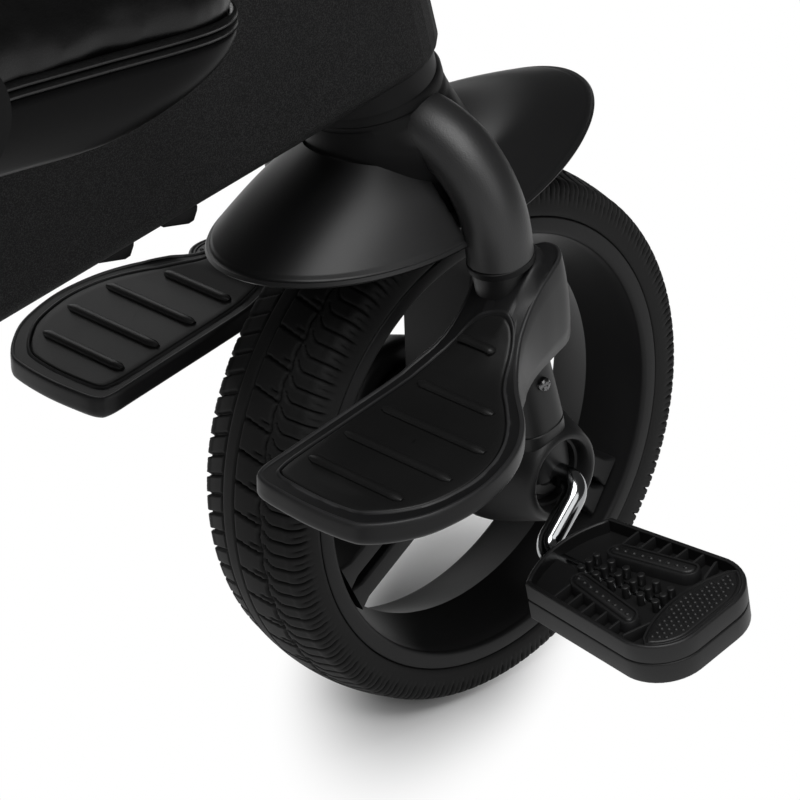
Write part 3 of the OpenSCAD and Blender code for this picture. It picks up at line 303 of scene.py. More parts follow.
def build(name, shape, place, material, body, slot, *nodes, smooth_angle=40):
    """A piece from points and faces in millimetres, set in place, with its finish, body and nodes."""
    points, faces = shape
    mesh = bpy.data.meshes.new(name)
    mesh.from_pydata(place(points).tolist(), [], faces)
    skin = bmesh.new()
    skin.from_mesh(mesh)
    bmesh.ops.recalc_face_normals(skin, faces=skin.faces)
    skin.to_mesh(mesh)
    skin.free()
    mesh.shade_smooth()
    mesh.set_sharp_from_angle(angle=math.radians(smooth_angle))
    mesh.materials.append(material)
    piece = bpy.data.objects.new(name, mesh)
    scene.collection.objects.link(piece)
    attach(piece, body)
    if nodes:
        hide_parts(*nodes)
    return piece


def arc(centre, radius, start, stop, steps):
    """Points of a flat arc, with its angles in degrees."""
    turns = np.radians(np.linspace(start, stop, steps))
    return [(centre[0] + radius * math.cos(a), centre[1] + radius * math.sin(a)) for a in turns]


def spoke_shape(rim, turn, middle):
    """One bar of a twin spoke, from the hub to the barrel, flared and rounded at both ends."""
    root, reach = rim["hub"] - SPOKE_SUNK, rim["crease"] + 2 * SPOKE_SUNK
    root_depth, tip_depth = rim["hub_half"] * SPOKE_ROOT_SHARE, rim["half_w"] * SPOKE_TIP_SHARE
    cos, sin = math.cos(turn), math.sin(turn)
    rows = []
    for share in np.linspace(0, 1, 13):
        r = root + (reach - root) * share
        near_end = max(0.0, 1 - (reach - r) / SPOKE_FLARE, 1 - (r - root) / SPOKE_FLARE)
        half_bar = rim["bar"] / 2 + SPOKE_FLARE_W * near_end * near_end - SPOKE_SOFT
        depth = root_depth + (tip_depth - root_depth) * share - SPOKE_SOFT
        section = []
        for cx, cy, a0 in ((1, 1, 0), (-1, 1, 90), (-1, -1, 180), (1, -1, 270)):
            section += arc((middle + cx * half_bar, cy * depth), SPOKE_SOFT, a0, a0 + 90, 6)
        rows.append([(r * cos - t * sin, y, r * sin + t * cos) for t, y in section])
    return loft(rows)


def rim_shape(rim):
    """Barrel, hub and twin spokes of a wheel."""
    w, lip, flange, hub_r, hub_l = (rim[key] for key in ("half_w", "lip", "flange", "hub", "hub_half"))
    half = [(rim["seat"], 0.0), (rim["seat"], w - 6.0), (flange, w - 4.0)]
    half += arc((flange - 1.0, w - 1.0), 1.0, 0, 90, 4) + arc((lip + 2.5, w - 2.5), 2.5, 90, 180, 6)
    half += [(lip - 0.6, w - 9.0), (rim["crease"], 0.0)]
    barrel = half + [(r, -y) for r, y in reversed(half[1:-1])]
    hub_side = [(rim["bore"], hub_l), (hub_r - 4.0, hub_l)] + arc((hub_r - 2.0, hub_l - 2.0), 2.0, 90, 0, 4)
    hub = hub_side + [(r, -y) for r, y in reversed(hub_side)]
    shapes = [lathe(barrel, rim["steps"], ring=True), lathe(hub, rim["steps"] // 2, ring=True)]
    for i in range(SPOKES):
        for side in (-1, 1):
            middle = side * (rim["slot"] + rim["bar"]) / 2
            shapes.append(spoke_shape(rim, rim["start"] + i * 2 * math.pi / SPOKES, middle))
    return joined(shapes)


rim_finish = finish(
    "rim_plastic", moulded, 0.00004, 0.16, colour=(0.006, 0.006, 0.0062), grain=1900.0, gloss=(0.40, 0.56),
    wear=0.55,
)
build(
    "front_rim_moulding", rim_shape(FRONT_RIM), at_axle, rim_finish, "front_wheel", "rim_plastic",
    "front_rim", smooth_angle=22,
)

# Front tyre
# A solid foamed-rubber tyre, moulded in one piece and stretched over the rim's flanges.
# Its tread has hooked sipes at the near shoulder, slanted slots, a plain rib and wide blocks beyond.
FRONT_TYRE_R = 140.0
FRONT_TYRE_HALF_W = 32.5
FRONT_SIPES = 112
TYRE_SHOULDER_R = 7.0
TYRE_DROP = 4.0


def smooth(share):
    """A share from 0 to 1 with soft ends."""
    return share * share * (3 - 2 * share)


def groove(distance, half_width, depth, soft=0.7):
    """Depth of a moulded groove with sloped walls at a distance from its middle."""
    return depth * (1 - smooth(np.clip((np.abs(distance) - half_width + soft / 2) / soft, 0, 1)))


def span(place, low, high, soft=1.0):
    """1 between low and high, with soft ends."""
    return np.clip((place - low) / soft + 0.5, 0, 1) * np.clip((high - place) / soft + 0.5, 0, 1)


def from_line(turns, count, pitch):
    """Distance along the tread to the nearest of a number of evenly spaced lines."""
    return ((turns * count + 0.5) % 1.0 - 0.5) * pitch


def tread_depth(turns, across, half, radius, sipes):
    """How deep the tread is cut at a share of a turn and a distance across; half is the shoulder's end."""
    pitch = 2 * math.pi * radius / sipes
    hook = 0.55 * np.clip((across + half * 0.55) / (half * 0.14), 0, 1) ** 2 / sipes
    sipe = groove(from_line(turns + hook, sipes, pitch), 0.6, 1.8) * span(across, -half * 1.02, -half * 0.4)
    teeth = groove(from_line(turns, 2 * sipes, pitch / 2), 0.45, 0.6)
    teeth = teeth * span(np.abs(across), half * 0.84, half * 1.02, 2.0)
    zigzag = np.abs(from_line(turns, sipes // 2, 2.0)) * 1.4
    wave = groove(across + half * 0.345 - zigzag + 0.7, 0.6, 1.7)
    slant = turns + across * 0.022 / sipes
    slots = groove(from_line(slant, sipes // 2, 2 * pitch), 0.8, 2.0)
    slots = slots * span(across, -half * 0.33, half * 0.1)
    notch = groove(from_line(slant + 0.5 / sipes, sipes // 2, 2 * pitch), 0.5, 1.4)
    notch = notch * span(across, -half * 0.33, -half * 0.17)
    lines = groove(across - half * 0.125, 0.55, 1.5) + groove(across - half * 0.37, 0.55, 1.5)
    far = from_line(turns - across * 0.05 / sipes, sipes * 3 // 4, pitch * 4 / 3)
    blocks = groove(far, 0.95, 2.1) * span(across, half * 0.4, half * 1.02)
    return np.max(np.broadcast_arrays(sipe, teeth, wave, slots, notch, lines, blocks), axis=0)


def tyre_shape(radius, half_w, rim, sipes, turn_steps, cross_step):
    """A tyre whose outer skin is a fine net, cut by the tread."""
    flange = rim["flange"]
    flat = half_w - TYRE_SHOULDER_R
    places = np.linspace(0, flat, int(flat / cross_step) + 1)
    crown = [(radius - TYRE_DROP * (y / flat) ** 2, y) for y in places]
    corner = radius - TYRE_DROP - TYRE_SHOULDER_R
    crown += arc((corner, flat), TYRE_SHOULDER_R, 0, 90, 12)[1:]
    shares = (0.25, 0.5, 0.75)
    wall = [(corner - (corner - flange) * s, half_w + 0.5 * math.sin(math.pi * s)) for s in shares]
    wall += [(flange + 0.9, half_w), (flange + 0.3, half_w - 0.8), (flange, half_w - 4.0)]
    wall += [(rim["seat"], half_w - 6.0)]
    half = np.array(crown + wall)
    profile = np.concatenate(((half * (1, -1))[:0:-1], half))
    middle = len(half) - 1
    along = np.gradient(profile, axis=0)
    along /= np.linalg.norm(along, axis=1, keepdims=True)
    outward = np.column_stack((along[:, 1], -along[:, 0]))
    lengths = np.concatenate(([0], np.cumsum(np.linalg.norm(np.diff(profile, axis=0), axis=1))))
    across = lengths - lengths[middle]
    reach = across[middle + len(crown) - 1]
    turns = np.arange(turn_steps) / turn_steps
    depth = tread_depth(turns[None, :], across[:, None], reach, radius, sipes)
    depth *= (np.abs(across) < reach * 1.03)[:, None]
    r = profile[:, :1] - depth * outward[:, :1]
    y = profile[:, 1:] - depth * outward[:, 1:]
    angle = 2 * math.pi * turns[None, :]
    points = np.stack((r * np.cos(angle), np.broadcast_to(y, r.shape), r * np.sin(angle)), -1)
    return loft(np.concatenate((points, points[:1])), caps=False)


# Rubber bloom: a grey film on raised rubber, darker cuts, and a fine sandy skin
rubber, bloom, rubber_where = effect_group(
    "rubber_bloom", colour=(0.003, 0.003, 0.003), bloom_colour=(0.016, 0.016, 0.016), skin=900.0,
    gloss_low=0.55, gloss_high=0.75,
)
rubber_cloud = noise(rubber, rubber_where, 30.0, 4.0)
rubber_skin = noise(rubber, rubber_where, bloom["Skin"], 2.0)
rubber_edge = add_node(rubber, "ShaderNodeNewGeometry").outputs["Pointiness"]
rubber_film = spread(rubber, rubber_edge, start=0.44, stop=0.56)
rubber_film = maths(rubber, "MULTIPLY", rubber_film, spread(rubber, rubber_cloud, 0.3, 0.9))
end_group(
    rubber, tint(rubber, rubber_film, bloom["Colour"], bloom["Bloom Colour"]),
    spread(rubber, rubber_cloud, bloom["Gloss Low"], bloom["Gloss High"]), rubber_skin,
)
tyre_finish = finish("tyre_rubber", rubber, 0.00005, 0.13)
build(
    "front_tyre_tread",
    tyre_shape(FRONT_TYRE_R, FRONT_TYRE_HALF_W, FRONT_RIM, FRONT_SIPES, 10 * FRONT_SIPES, 0.9), at_axle,
    tyre_finish, "front_wheel", "tyre_rubber", "front_tyre", smooth_angle=75,
)

# Crank
# One chromed steel rod, bent cold into axle, two opposite arms and the pedal spindles.
# It is keyed into the hub, so it goes round with the front wheel.
ROD_R = 6.0
SPINDLE_R = 4.0
SPINDLE_SHORT = 9.0
CRANK_LEN = 38.0
CRANK_Y = 90.0
CRANK_BEND = 9.0
CRANK_ANGLE = math.radians(227)
PEDAL_Y = 100.5
PEDAL_L = 101.0


def unit(vectors):
    """The vectors at length 1."""
    return vectors / np.linalg.norm(vectors, axis=-1, keepdims=True)


def square_to(along):
    """A direction at right angles to the given one, level where that can be."""
    return np.cross(along, (0.0, 0.0, 1.0) if abs(along[2]) < 0.9 else (1.0, 0.0, 0.0))


def tube(path, radius, sides):
    """A round tube along a path; radius is one number or one for each point."""
    path = np.asarray(path, float)
    along = unit(np.gradient(path, axis=0))
    side = square_to(along[0])
    turns = full_turn(sides)[:, None]
    loops = []
    for point, direction, r in zip(path, along, np.broadcast_to(radius, len(path))):
        side = unit(side - direction * (side @ direction))
        loops.append(point + r * (np.cos(turns) * side + np.sin(turns) * np.cross(direction, side)))
    return loft(loops)


def bend(corner, before, after, radius, steps=10):
    """Points of a round bend of a rod at a corner between two directions."""
    before, after = unit(np.asarray(before, float)), unit(np.asarray(after, float))
    half = math.acos(np.clip(before @ after, -1, 1)) / 2
    centre = np.asarray(corner, float) + unit(after - before) * radius / math.cos(half)
    start = corner - before * radius * math.tan(half) - centre
    sweep = np.linspace(0, 2 * half, steps)[:, None]
    onward = np.cross(unit(np.cross(before, after)), start)
    return list(centre + start * np.cos(sweep) + onward * np.sin(sweep))


arm = np.array((math.cos(CRANK_ANGLE), 0.0, math.sin(CRANK_ANGLE)))
outward_y = np.array((0.0, -1.0, 0.0))
crank_path = [np.zeros(3)] + bend(outward_y * CRANK_Y, outward_y, arm, CRANK_BEND)
crank_path += bend(outward_y * CRANK_Y + arm * CRANK_LEN, arm, outward_y, CRANK_BEND)
shoulder = arm * CRANK_LEN + outward_y * (PEDAL_Y - 0.4)
crank_path += [shoulder, shoulder, shoulder + outward_y * (PEDAL_L - SPINDLE_SHORT)]
crank_radii = [ROD_R] * (len(crank_path) - 2) + [SPINDLE_R] * 2
crank_points, crank_faces = tube(crank_path, crank_radii, 32)
# Metal haze: smears that dull the plating
chrome, haze, chrome_where = effect_group(
    "metal_haze", colour=(0.36, 0.365, 0.37), smear_colour=(0.25, 0.255, 0.26), gloss_low=0.08,
    gloss_high=0.18,
)
chrome_smear = noise(chrome, chrome_where, 60.0, 5.0)
end_group(
    chrome, tint(chrome, chrome_smear, haze["Colour"], haze["Smear Colour"]),
    spread(chrome, chrome_smear, haze["Gloss Low"], haze["Gloss High"]),
    noise(chrome, chrome_where, 400.0, 2.0),
)
chrome_finish = finish("chrome", chrome, 0.000005, metallic=1.0)
build(
    "crank_rod", joined([(crank_points, crank_faces), (-crank_points, crank_faces)]), at_axle, chrome_finish,
    "front_wheel", "chrome", "crank_axle",
)

# Pedals
# Each pedal is two black mouldings screwed together round the spindle: a plain lower half and a deck.
# The deck has a raised border, dotted oval pads, a field of pegs, thin slats and a dotted lens outside.
PEDAL_IN_W = 61.0
PEDAL_W = 74.0
PEDAL_UP = 10.0
PEDAL_DOWN = 12.0
PEDAL_SPLIT = 0.35
PEDAL_NOSE_R = 58.0
PEDAL_CORNER = 24.0
PEDAL_WALL = 2.4
PEDAL_RECESS = 7.0
PEDAL_TILT = math.radians(13)
PAD_W = 11.0
PAD_L = 48.0
PAD_START = 23.0
PAD_DOTS = 27.4 + 4.66 * np.arange(9)
SLATS = 25.7 + 9.5 * np.arange(5)
SLAT_T = 1.2
BRACE = np.array([(31.8, 72.4), (33.0, 73.4), (19.0, 77.6), (18.6, 76.4)])
PEGS_X = (-5.5, 0.0, 5.5)
PEGS_Y = 21.5 + 9.4 * np.arange(6)
PEG_R = 2.0
LENS_R = 62.7
LENS_Y = 137.4
LENS_ROWS = 79.6 + 2.9 * np.arange(7)
LENS_PITCH = 3.3
LENS_DOTS = np.arange(-33.0, 33.5, LENS_PITCH)
LENS_BOW_IN = 4.2
LENS_CORNER_IN = 6.4
SUNK = 0.5


def at_height(plan, height):
    """Points of a plan at a height, or each at its own."""
    return np.column_stack((plan, np.broadcast_to(height, len(plan))))


def inset_outline(outline, amount):
    """A closed outline of (x, y) points moved inwards along its own normals."""
    ahead, behind = np.roll(outline, -1, 0), np.roll(outline, 1, 0)
    along = ahead - behind
    along /= np.maximum(np.linalg.norm(along, axis=1, keepdims=True), 1e-9)
    area = np.sum(outline[:, 0] * ahead[:, 1] - ahead[:, 0] * outline[:, 1])
    inward = np.stack((-along[:, 1], along[:, 0]), 1) * (1 if area > 0 else -1)
    return outline + inward * np.reshape(amount, (-1, 1))


def stepped(outline, steps):
    """A closed form over an outline: each step moves it in and sets its height."""
    return loft([at_height(inset_outline(outline, amount), z) for amount, z in steps])


def rounded_slab(outline, low, high, rounding, steps):
    """A flat slab over an outline, from low to high along local Z, with rounded rims."""
    turns = np.linspace(0, math.pi / 2, steps + 1)
    rims = [(rounding * (1 - math.sin(a)), rounding * (1 - math.cos(a))) for a in turns]
    lower = [(inset, low + z) for inset, z in rims]
    upper = [(inset, high - z) for inset, z in reversed(rims)]
    return stepped(outline, lower + upper)


def tilted(points, angle):
    """Points turned about the Y axis, with X towards Z."""
    x, y, z = np.asarray(points, float).T
    c, s = math.cos(angle), math.sin(angle)
    return np.column_stack((x * c - z * s, y, x * s + z * c))


def pedal_outline(inset):
    """Outline of a pedal: a blunt nose at the crank, wider outside with rounded corners."""
    inner, outer, corner = PEDAL_IN_W / 2 - inset, PEDAL_W / 2 - inset, PEDAL_CORNER - inset
    nose = math.degrees(math.acos(inner / (PEDAL_NOSE_R - inset)))
    points = arc((0, PEDAL_NOSE_R), PEDAL_NOSE_R - inset, 180 + nose, 360 - nose, 25)
    points += arc((outer - corner, PEDAL_L - PEDAL_CORNER), corner, 0, 90, 12)
    points += arc((corner - outer, PEDAL_L - PEDAL_CORNER), corner, 90, 180, 12)
    return np.array(points)


def dome(centre, radius, height, sides=8):
    """A small round stud."""
    ring = np.array(arc((0, 0), 1.0, 0, 360 - 360 / sides, sides))
    rings = [(1.0, -0.3), (0.92, 0.35), (0.6, 0.8), (0.2, 1.0)]
    return loft([at_height(centre[:2] + radius * s * ring, centre[2] + height * h) for s, h in rings])


def pad_x(y):
    """Distance of an oval pad's middle from the pedal's middle line: the pads spread outwards."""
    return 13.4 + 0.19 * (y - 27.0)


def pedal_half_width(y):
    """Half the pedal's width at a place along it."""
    start, stop = 9.0, PEDAL_L - PEDAL_CORNER
    along = np.clip((y - start) / (stop - start), 0, 1)
    return (PEDAL_IN_W + (PEDAL_W - PEDAL_IN_W) * along) / 2


def pedal_deck_shape():
    """Border, floor, pads, pegs, slats and lens of a pedal's deck."""
    top, floor_z = PEDAL_UP, PEDAL_UP - PEDAL_RECESS
    border = [(0, PEDAL_SPLIT), (0, top - 1.2), (0.3, top - 0.4), (0.9, top), (PEDAL_WALL - 0.6, top)]
    shapes = [stepped(pedal_outline(0), border + [(PEDAL_WALL, top - 0.5), (PEDAL_WALL, floor_z)])]
    pad_steps = [(0, floor_z - SUNK), (0, top - 1.0), (0.4, top - 0.5), (1.3, top - 0.5), (1.6, top - 1.2)]
    pad_steps += [(2.1, top - 1.2), (2.4, top - 0.6), (3.0, top - 0.3)]
    for side in (-1, 1):
        r = PAD_W / 2
        pad = arc((0, PAD_START + PAD_L - r), r, 0, 180, 9) + arc((0, PAD_START + r), r, 180, 360, 9)
        pad = np.array(pad)
        pad[:, 0] = side * (pad_x(pad[:, 1]) + pad[:, 0])
        shapes.append(stepped(pad, pad_steps))
        for y in PAD_DOTS:
            shapes.append(dome((side * pad_x(y), y, top - 0.3), 1.3, 0.7))
        bars = []
        for y in SLATS:
            inner, outer = pad_x(y) + 5.2, pedal_half_width(y) - PEDAL_WALL + 0.3
            bars.append(np.array([(inner, y), (outer, y), (outer, y + SLAT_T), (inner, y + SLAT_T)]))
        for bar in bars + [BRACE]:
            shapes.append(rounded_slab(bar * (side, 1), floor_z - SUNK, top - 0.9, 0.25, 2))
    for x in PEGS_X:
        for y in PEGS_Y:
            peg = np.array(arc((x, y), PEG_R, 0, 330, 12))
            shapes.append(rounded_slab(peg, floor_z - SUNK, top - 0.6, 0.6, 3))
    limit = pedal_outline(PEDAL_WALL - 0.1)
    tip = limit[limit[:, 1] > LENS_Y - np.sqrt(LENS_R ** 2 - limit[:, 0] ** 2)]
    bow_x = np.linspace(tip[-1][0], tip[0][0], 24)[1:-1]
    lens = np.concatenate((tip, np.column_stack((bow_x, LENS_Y - np.sqrt(LENS_R ** 2 - bow_x ** 2)))))
    lens_steps = [(0, floor_z - SUNK), (0, top - 0.7), (0.4, top - 0.25), (1.3, top - 0.25)]
    lens_steps += [(1.6, top - 0.9), (2.0, top - 0.9), (2.3, top - 0.5), (2.8, top - 0.35)]
    shapes.append(stepped(lens, lens_steps))
    for row, y in enumerate(LENS_ROWS):
        over_y = max(y - (PEDAL_L - PEDAL_CORNER), 0)
        for x in LENS_DOTS + (row % 2) * LENS_PITCH / 2:
            over_x = max(abs(x) - (PEDAL_W / 2 - PEDAL_CORNER), 0)
            in_bow = math.hypot(x, y - LENS_Y) < LENS_R - LENS_BOW_IN
            if in_bow and math.hypot(over_x, over_y) < PEDAL_CORNER - LENS_CORNER_IN:
                shapes.append(dome((x, y, top - 0.35), 1.2, 0.8))
    return joined(shapes)


def pedal_place(sign, tilt):
    """Places a pedal's points, with Y outward along its spindle, on the right (-1) or left (1)."""
    centre = -sign * arm * CRANK_LEN + (0.0, sign * PEDAL_Y, 0.0)
    return lambda points: at_axle(tilted(points * (1, sign, 1), tilt) + centre)


pedal_finish = finish("pedal_plastic", moulded, 0.00003, 0.3, grain=1500.0, gloss=(0.38, 0.52), wear=0.7)
pedal_deck = pedal_deck_shape()
pedal_base = rounded_slab(pedal_outline(0), -PEDAL_DOWN, -PEDAL_SPLIT, 1.4, 4)
for side_name, sign, tilt in (("right", -1, PEDAL_TILT), ("left", 1, 0.0)):
    for half, shape in (("base", pedal_base), ("deck", pedal_deck)):
        build(
            f"pedal_{half}_moulding_{side_name}", shape, pedal_place(sign, tilt), pedal_finish,
            f"pedal_{side_name}", "pedal_plastic", f"pedal_{half}_{side_name}",
        )

# Fork tube and crown
# A steel tube bent over the wheel and painted satin black, clamped in a moulded crown under the head.
# The crown swells out round the tube, and a plastic bush closes each of the tube's lower ends.
SIDES = (("right", -1), ("left", 1))
RAKE = math.radians(16.5)
BOW_R = 15.9
BOW_Y = 69.0
BOW_TOP = 187.0
BOW_FOOT = 128.0
BOW_STRAIGHT = 8.0
BOW_BEND = 48.0
BOW_LEAN = 6.0
BOW_LEAN_UP = 50.0
CROWN_FOOT = [(12.0, 147.0), (45.0, 147.0), (46.5, 148.5)]
CROWN_FLANK = [(45.2, 153.0), (41.6, 163.0), (38.4, 175.0), (36.2, 187.0), (35.2, 194.0)]
CROWN_LIP = [
    (35.0, 197.0), (34.2, 198.0), (34.2, 199.4), (34.9, 200.2), (34.7, 204.6), (33.8, 206.0), (13.0, 206.0),
]
CROWN_LEAN = 3.0
CROWN_REACH = 6.0
CROWN_REACH_DOWN = 45.0
BOSS_OUT = 13.0
BOSS_AT = 181.0
BOSS_TURN = math.radians(32.0)
BOSS_RISE = 17.0
BOSS_FADE = 9.0
BOSS_INNER = 20.0


def at_steer(points):
    """Millimetres in the steering frame, Z up its axis from the front axle, to the trike's frame."""
    return at_axle(tilted(points, RAKE))


def upright(shape):
    """Turns a lathe's shape from the Y axis to the Z axis."""
    points, faces = shape
    return np.column_stack((points[:, 0], -points[:, 2], points[:, 1])), faces


bow_path = [(0, -BOW_Y, BOW_FOOT), (0, -BOW_Y, BOW_FOOT + BOW_STRAIGHT)]
bow_path += bend((0, -BOW_Y, BOW_TOP), (0, 0, 1), (0, 1, 0), BOW_BEND, 28)
bow_path += bend((0, BOW_Y, BOW_TOP), (0, 1, 0), (0, 0, -1), BOW_BEND, 28)
bow_path += [(0, BOW_Y, BOW_FOOT + BOW_STRAIGHT), (0, BOW_Y, BOW_FOOT)]
bow_path = np.array(bow_path, float)
bow_path[:, 0] += BOW_LEAN * np.clip((bow_path[:, 2] - BOW_FOOT) / BOW_LEAN_UP, 0, 1)
tube_finish = finish(
    "painted_tube", moulded, 0.00008, 0.5, colour=(0.011, 0.011, 0.0113), grain=1400.0, gloss=(0.40, 0.48),
    wear=0.2,
)
build("fork_tube", tube(bow_path, BOW_R, 48), at_steer, tube_finish, "steering", "painted_tube", "fork_bow")
head_finish = finish(
    "head_plastic", moulded, 0.00003, 0.12, colour=(0.002, 0.002, 0.0021), grain=2200.0, gloss=(0.42, 0.55),
    wear=0.35,
)
flank_r, flank_z = np.array(CROWN_FLANK).T
flank = [(np.interp(z, flank_z, flank_r), z) for z in np.linspace(flank_z[0], flank_z[-1], 26)]
crown_points, crown_faces = upright(lathe(CROWN_FOOT + flank + CROWN_LIP, 192))
crown_x, crown_y, crown_z = crown_points.T.copy()
from_side = np.arctan2(crown_x, np.abs(crown_y)) / BOSS_TURN
from_middle = (crown_z - BOSS_AT) / BOSS_RISE
boss = BOSS_OUT * np.exp(-from_side ** 2 - from_middle ** 2)
boss *= np.clip((flank_z[-1] - crown_z) / BOSS_FADE, 0, 1)
crown_points[:, 1] += np.sign(crown_y) * boss * (np.abs(crown_y) >= BOSS_INNER)
crown_down = np.clip((CROWN_LIP[0][1] - crown_z) / CROWN_REACH_DOWN, 0, 1)
crown_points[:, 0] += CROWN_LEAN + CROWN_REACH * crown_down
build(
    "fork_crown_moulding", (crown_points, crown_faces), at_steer, head_finish, "steering", "head_plastic",
    "fork_crown",
)
tube_bush = [(BOW_R - 2, -4.0), (BOW_R - 0.6, -4.0), (BOW_R + 0.3, -3.4), (BOW_R + 0.3, -0.4)]
tube_bush += [(BOW_R - 0.2, 0.0), (BOW_R - 2, 0.0)]
bush_points, bush_faces = upright(lathe(tube_bush, 48, ring=True))
for side_name, sign in SIDES:
    build(
        f"fork_tube_bush_{side_name}", (bush_points + (0, sign * BOW_Y, BOW_FOOT + 1.0), bush_faces),
        at_steer, head_finish, "steering", "head_plastic",
    )

# Mudguard
# One satin moulding over the front wheel, held under the crown: long in front and saddle shaped.
# A fine rolled hem runs round its rim.
GUARD = dict(
    front=133.0, rear=93.0, half_w=64.0, rim=147.0, thick=3.0, bulge=5.0, bulge_front=4.0, shift=7.5,
    tip=-0.095, saddle=4.2, root_r=34.5, root=168.0, root_slope=-0.49, dip=12.0, waist=15.0, pass_x=8.0,
    pass_soft=5.0, round=1.1,
)
HEM_START = 0.945
HEM_STEP = 0.012
HEM_END = 0.02
HEM_DEPTH = 0.9


def guard_net(drop, shares, turns):
    """Points of the mudguard's skin from its root at the crown to its rim."""
    g = GUARD
    a, u = np.meshgrid(turns, shares)
    cos, sin = np.cos(a), np.sin(a)
    reach = np.where(cos > 0, g["front"], g["rear"]) * cos
    from_tube = np.abs(reach - g["shift"] * u)
    side = smooth(np.clip((g["pass_x"] + g["pass_soft"] - from_tube) / g["pass_soft"], 0, 1))
    root_x = g["root_r"] * cos
    root = (root_x, g["root_r"] * sin, g["root"] + g["root_slope"] * root_x - g["dip"] * side)
    rim_z = g["rim"] + g["tip"] * reach + g["saddle"] * np.cos(2 * a)
    rim = (reach - g["shift"], (g["half_w"] - g["waist"] * side) * sin, rim_z)
    bulge = (g["bulge"] + g["bulge_front"] * cos) * (1 - side) * np.sin(math.pi * u)
    hem = HEM_DEPTH * np.clip((u - HEM_START) / HEM_STEP, 0, 1) * np.clip((1.0 - u) / HEM_END, 0, 1)
    x, y, z = (r + (e - r) * u for r, e in zip(root, rim))
    return np.stack((x, y, z + bulge - drop - hem), -1)


hem_shares = (HEM_START, HEM_START + HEM_STEP, 0.972, 0.985, 1.0)
guard_shares = np.concatenate((np.linspace(0, 0.93, 22), hem_shares))
guard_turns = np.linspace(0, 2 * math.pi, 480, endpoint=False)
guard_top = guard_net(0.0, guard_shares, guard_turns)
guard_foot = guard_net(GUARD["thick"], guard_shares[::-1], guard_turns)
guard_edge = (guard_top[-1] + guard_foot[0]) / 2
guard_edge += GUARD["round"] * unit((guard_edge - guard_edge.mean(0)) * (1, 1, 0))
guard_loops = np.concatenate((guard_top, guard_edge[None], guard_foot, guard_top[:1]))
guard_finish = finish(
    "mudguard_satin", moulded, 0.00003, 0.3, colour=(0.005, 0.005, 0.0052), grain=1700.0, gloss=(0.36, 0.46),
    wear=0.4,
)
build(
    "mudguard_shell", loft(guard_loops, caps=False), at_steer, guard_finish, "steering", "satin_plastic",
    "mudguard",
)

# Legs, hub bushes and screws
# Each leg is a satin moulding: a flared hub barrel for the axle, and a neck that goes up into the fork tube.
# A grey bush lines the barrel, and one cross-head screw holds the footrest's bracket on the neck.
BARREL = [
    (10.0, 34.5), (30.0, 34.5), (33.5, 35.6), (35.0, 39.0), (34.2, 45.0), (31.2, 55.0), (28.0, 64.0),
    (25.6, 71.0), (24.0, 75.0), (23.2, 77.0), (22.0, 78.4), (20.6, 79.0), (19.4, 78.7), (18.6, 77.6),
    (18.0, 74.0), (17.6, 71.0), (16.4, 70.4), (15.8, 66.0), (10.0, 65.4),
]
BUSH = [
    (6.05, 31.5), (10.0, 31.5), (10.0, 66.0), (13.0, 66.2), (13.6, 66.9), (13.0, 67.6), (8.4, 67.8),
    (7.6, 67.0), (6.05, 66.8),
]
# Each row of the neck: its place up the steering axis, and half its length and width
NECK = [
    (0.0, 13.0, 9.5), (14.0, 14.2, 10.0), (22.0, 14.4, 11.2), (29.3, 14.3, 12.6), (29.7, 13.7, 12.1),
    (30.3, 13.7, 12.1), (30.7, 14.2, 12.6), (60.0, 13.6, 12.4), (95.0, 13.0, 12.4), (108.0, 14.0, 13.8),
    (127.0, 14.0, 13.8),
]
NECK_Y = 66.0
NECK_TURN_UP = 100.0
NECK_SQUARE = 0.8
SCREW = [(0.6, 3.0), (1.8, 2.9), (2.8, 2.4), (3.4, 1.6), (3.5, 0.9), (3.5, -2.0)]
SCREW_AT = (0.0, 78.6, 57.0)
CROSS = ((2.3, 0.55), (0.55, 2.3))
CROSS_LOW = 2.6
CROSS_HIGH = 3.1


def squared(values, power):
    """Cosines or sines bent towards the corners of a square."""
    return np.sign(values) * np.abs(values) ** power


def neck_shape():
    """A leg's neck: flattened ovals up the steering axis, with a moulded seam near the barrel."""
    turns = full_turn(40)
    loops = []
    for s, half_x, half_y in NECK:
        middle = BOW_Y if s > NECK_TURN_UP else NECK_Y
        y = middle + half_y * squared(np.sin(turns), NECK_SQUARE)
        loops.append(at_height(np.column_stack((half_x * squared(np.cos(turns), NECK_SQUARE), y)), s))
    points, faces = loft(loops)
    return tilted(points, RAKE), faces


def screw_shape():
    """A domed screw head with a cross recess, facing outward from the neck."""
    shapes = [lathe(SCREW, 24)]
    for half_sizes in CROSS:
        points, faces = rounded_slab(np.array(corners) * half_sizes, CROSS_LOW, CROSS_HIGH, 0.1, 1)
        shapes.append((points[:, (0, 2, 1)], faces))
    points, faces = joined(shapes)
    return tilted(points + SCREW_AT, RAKE), faces


def mirrored(shape, sign):
    """A shape drawn for the left side, or its mirror image for the right."""
    points, faces = shape
    return points * (1, sign, 1), faces


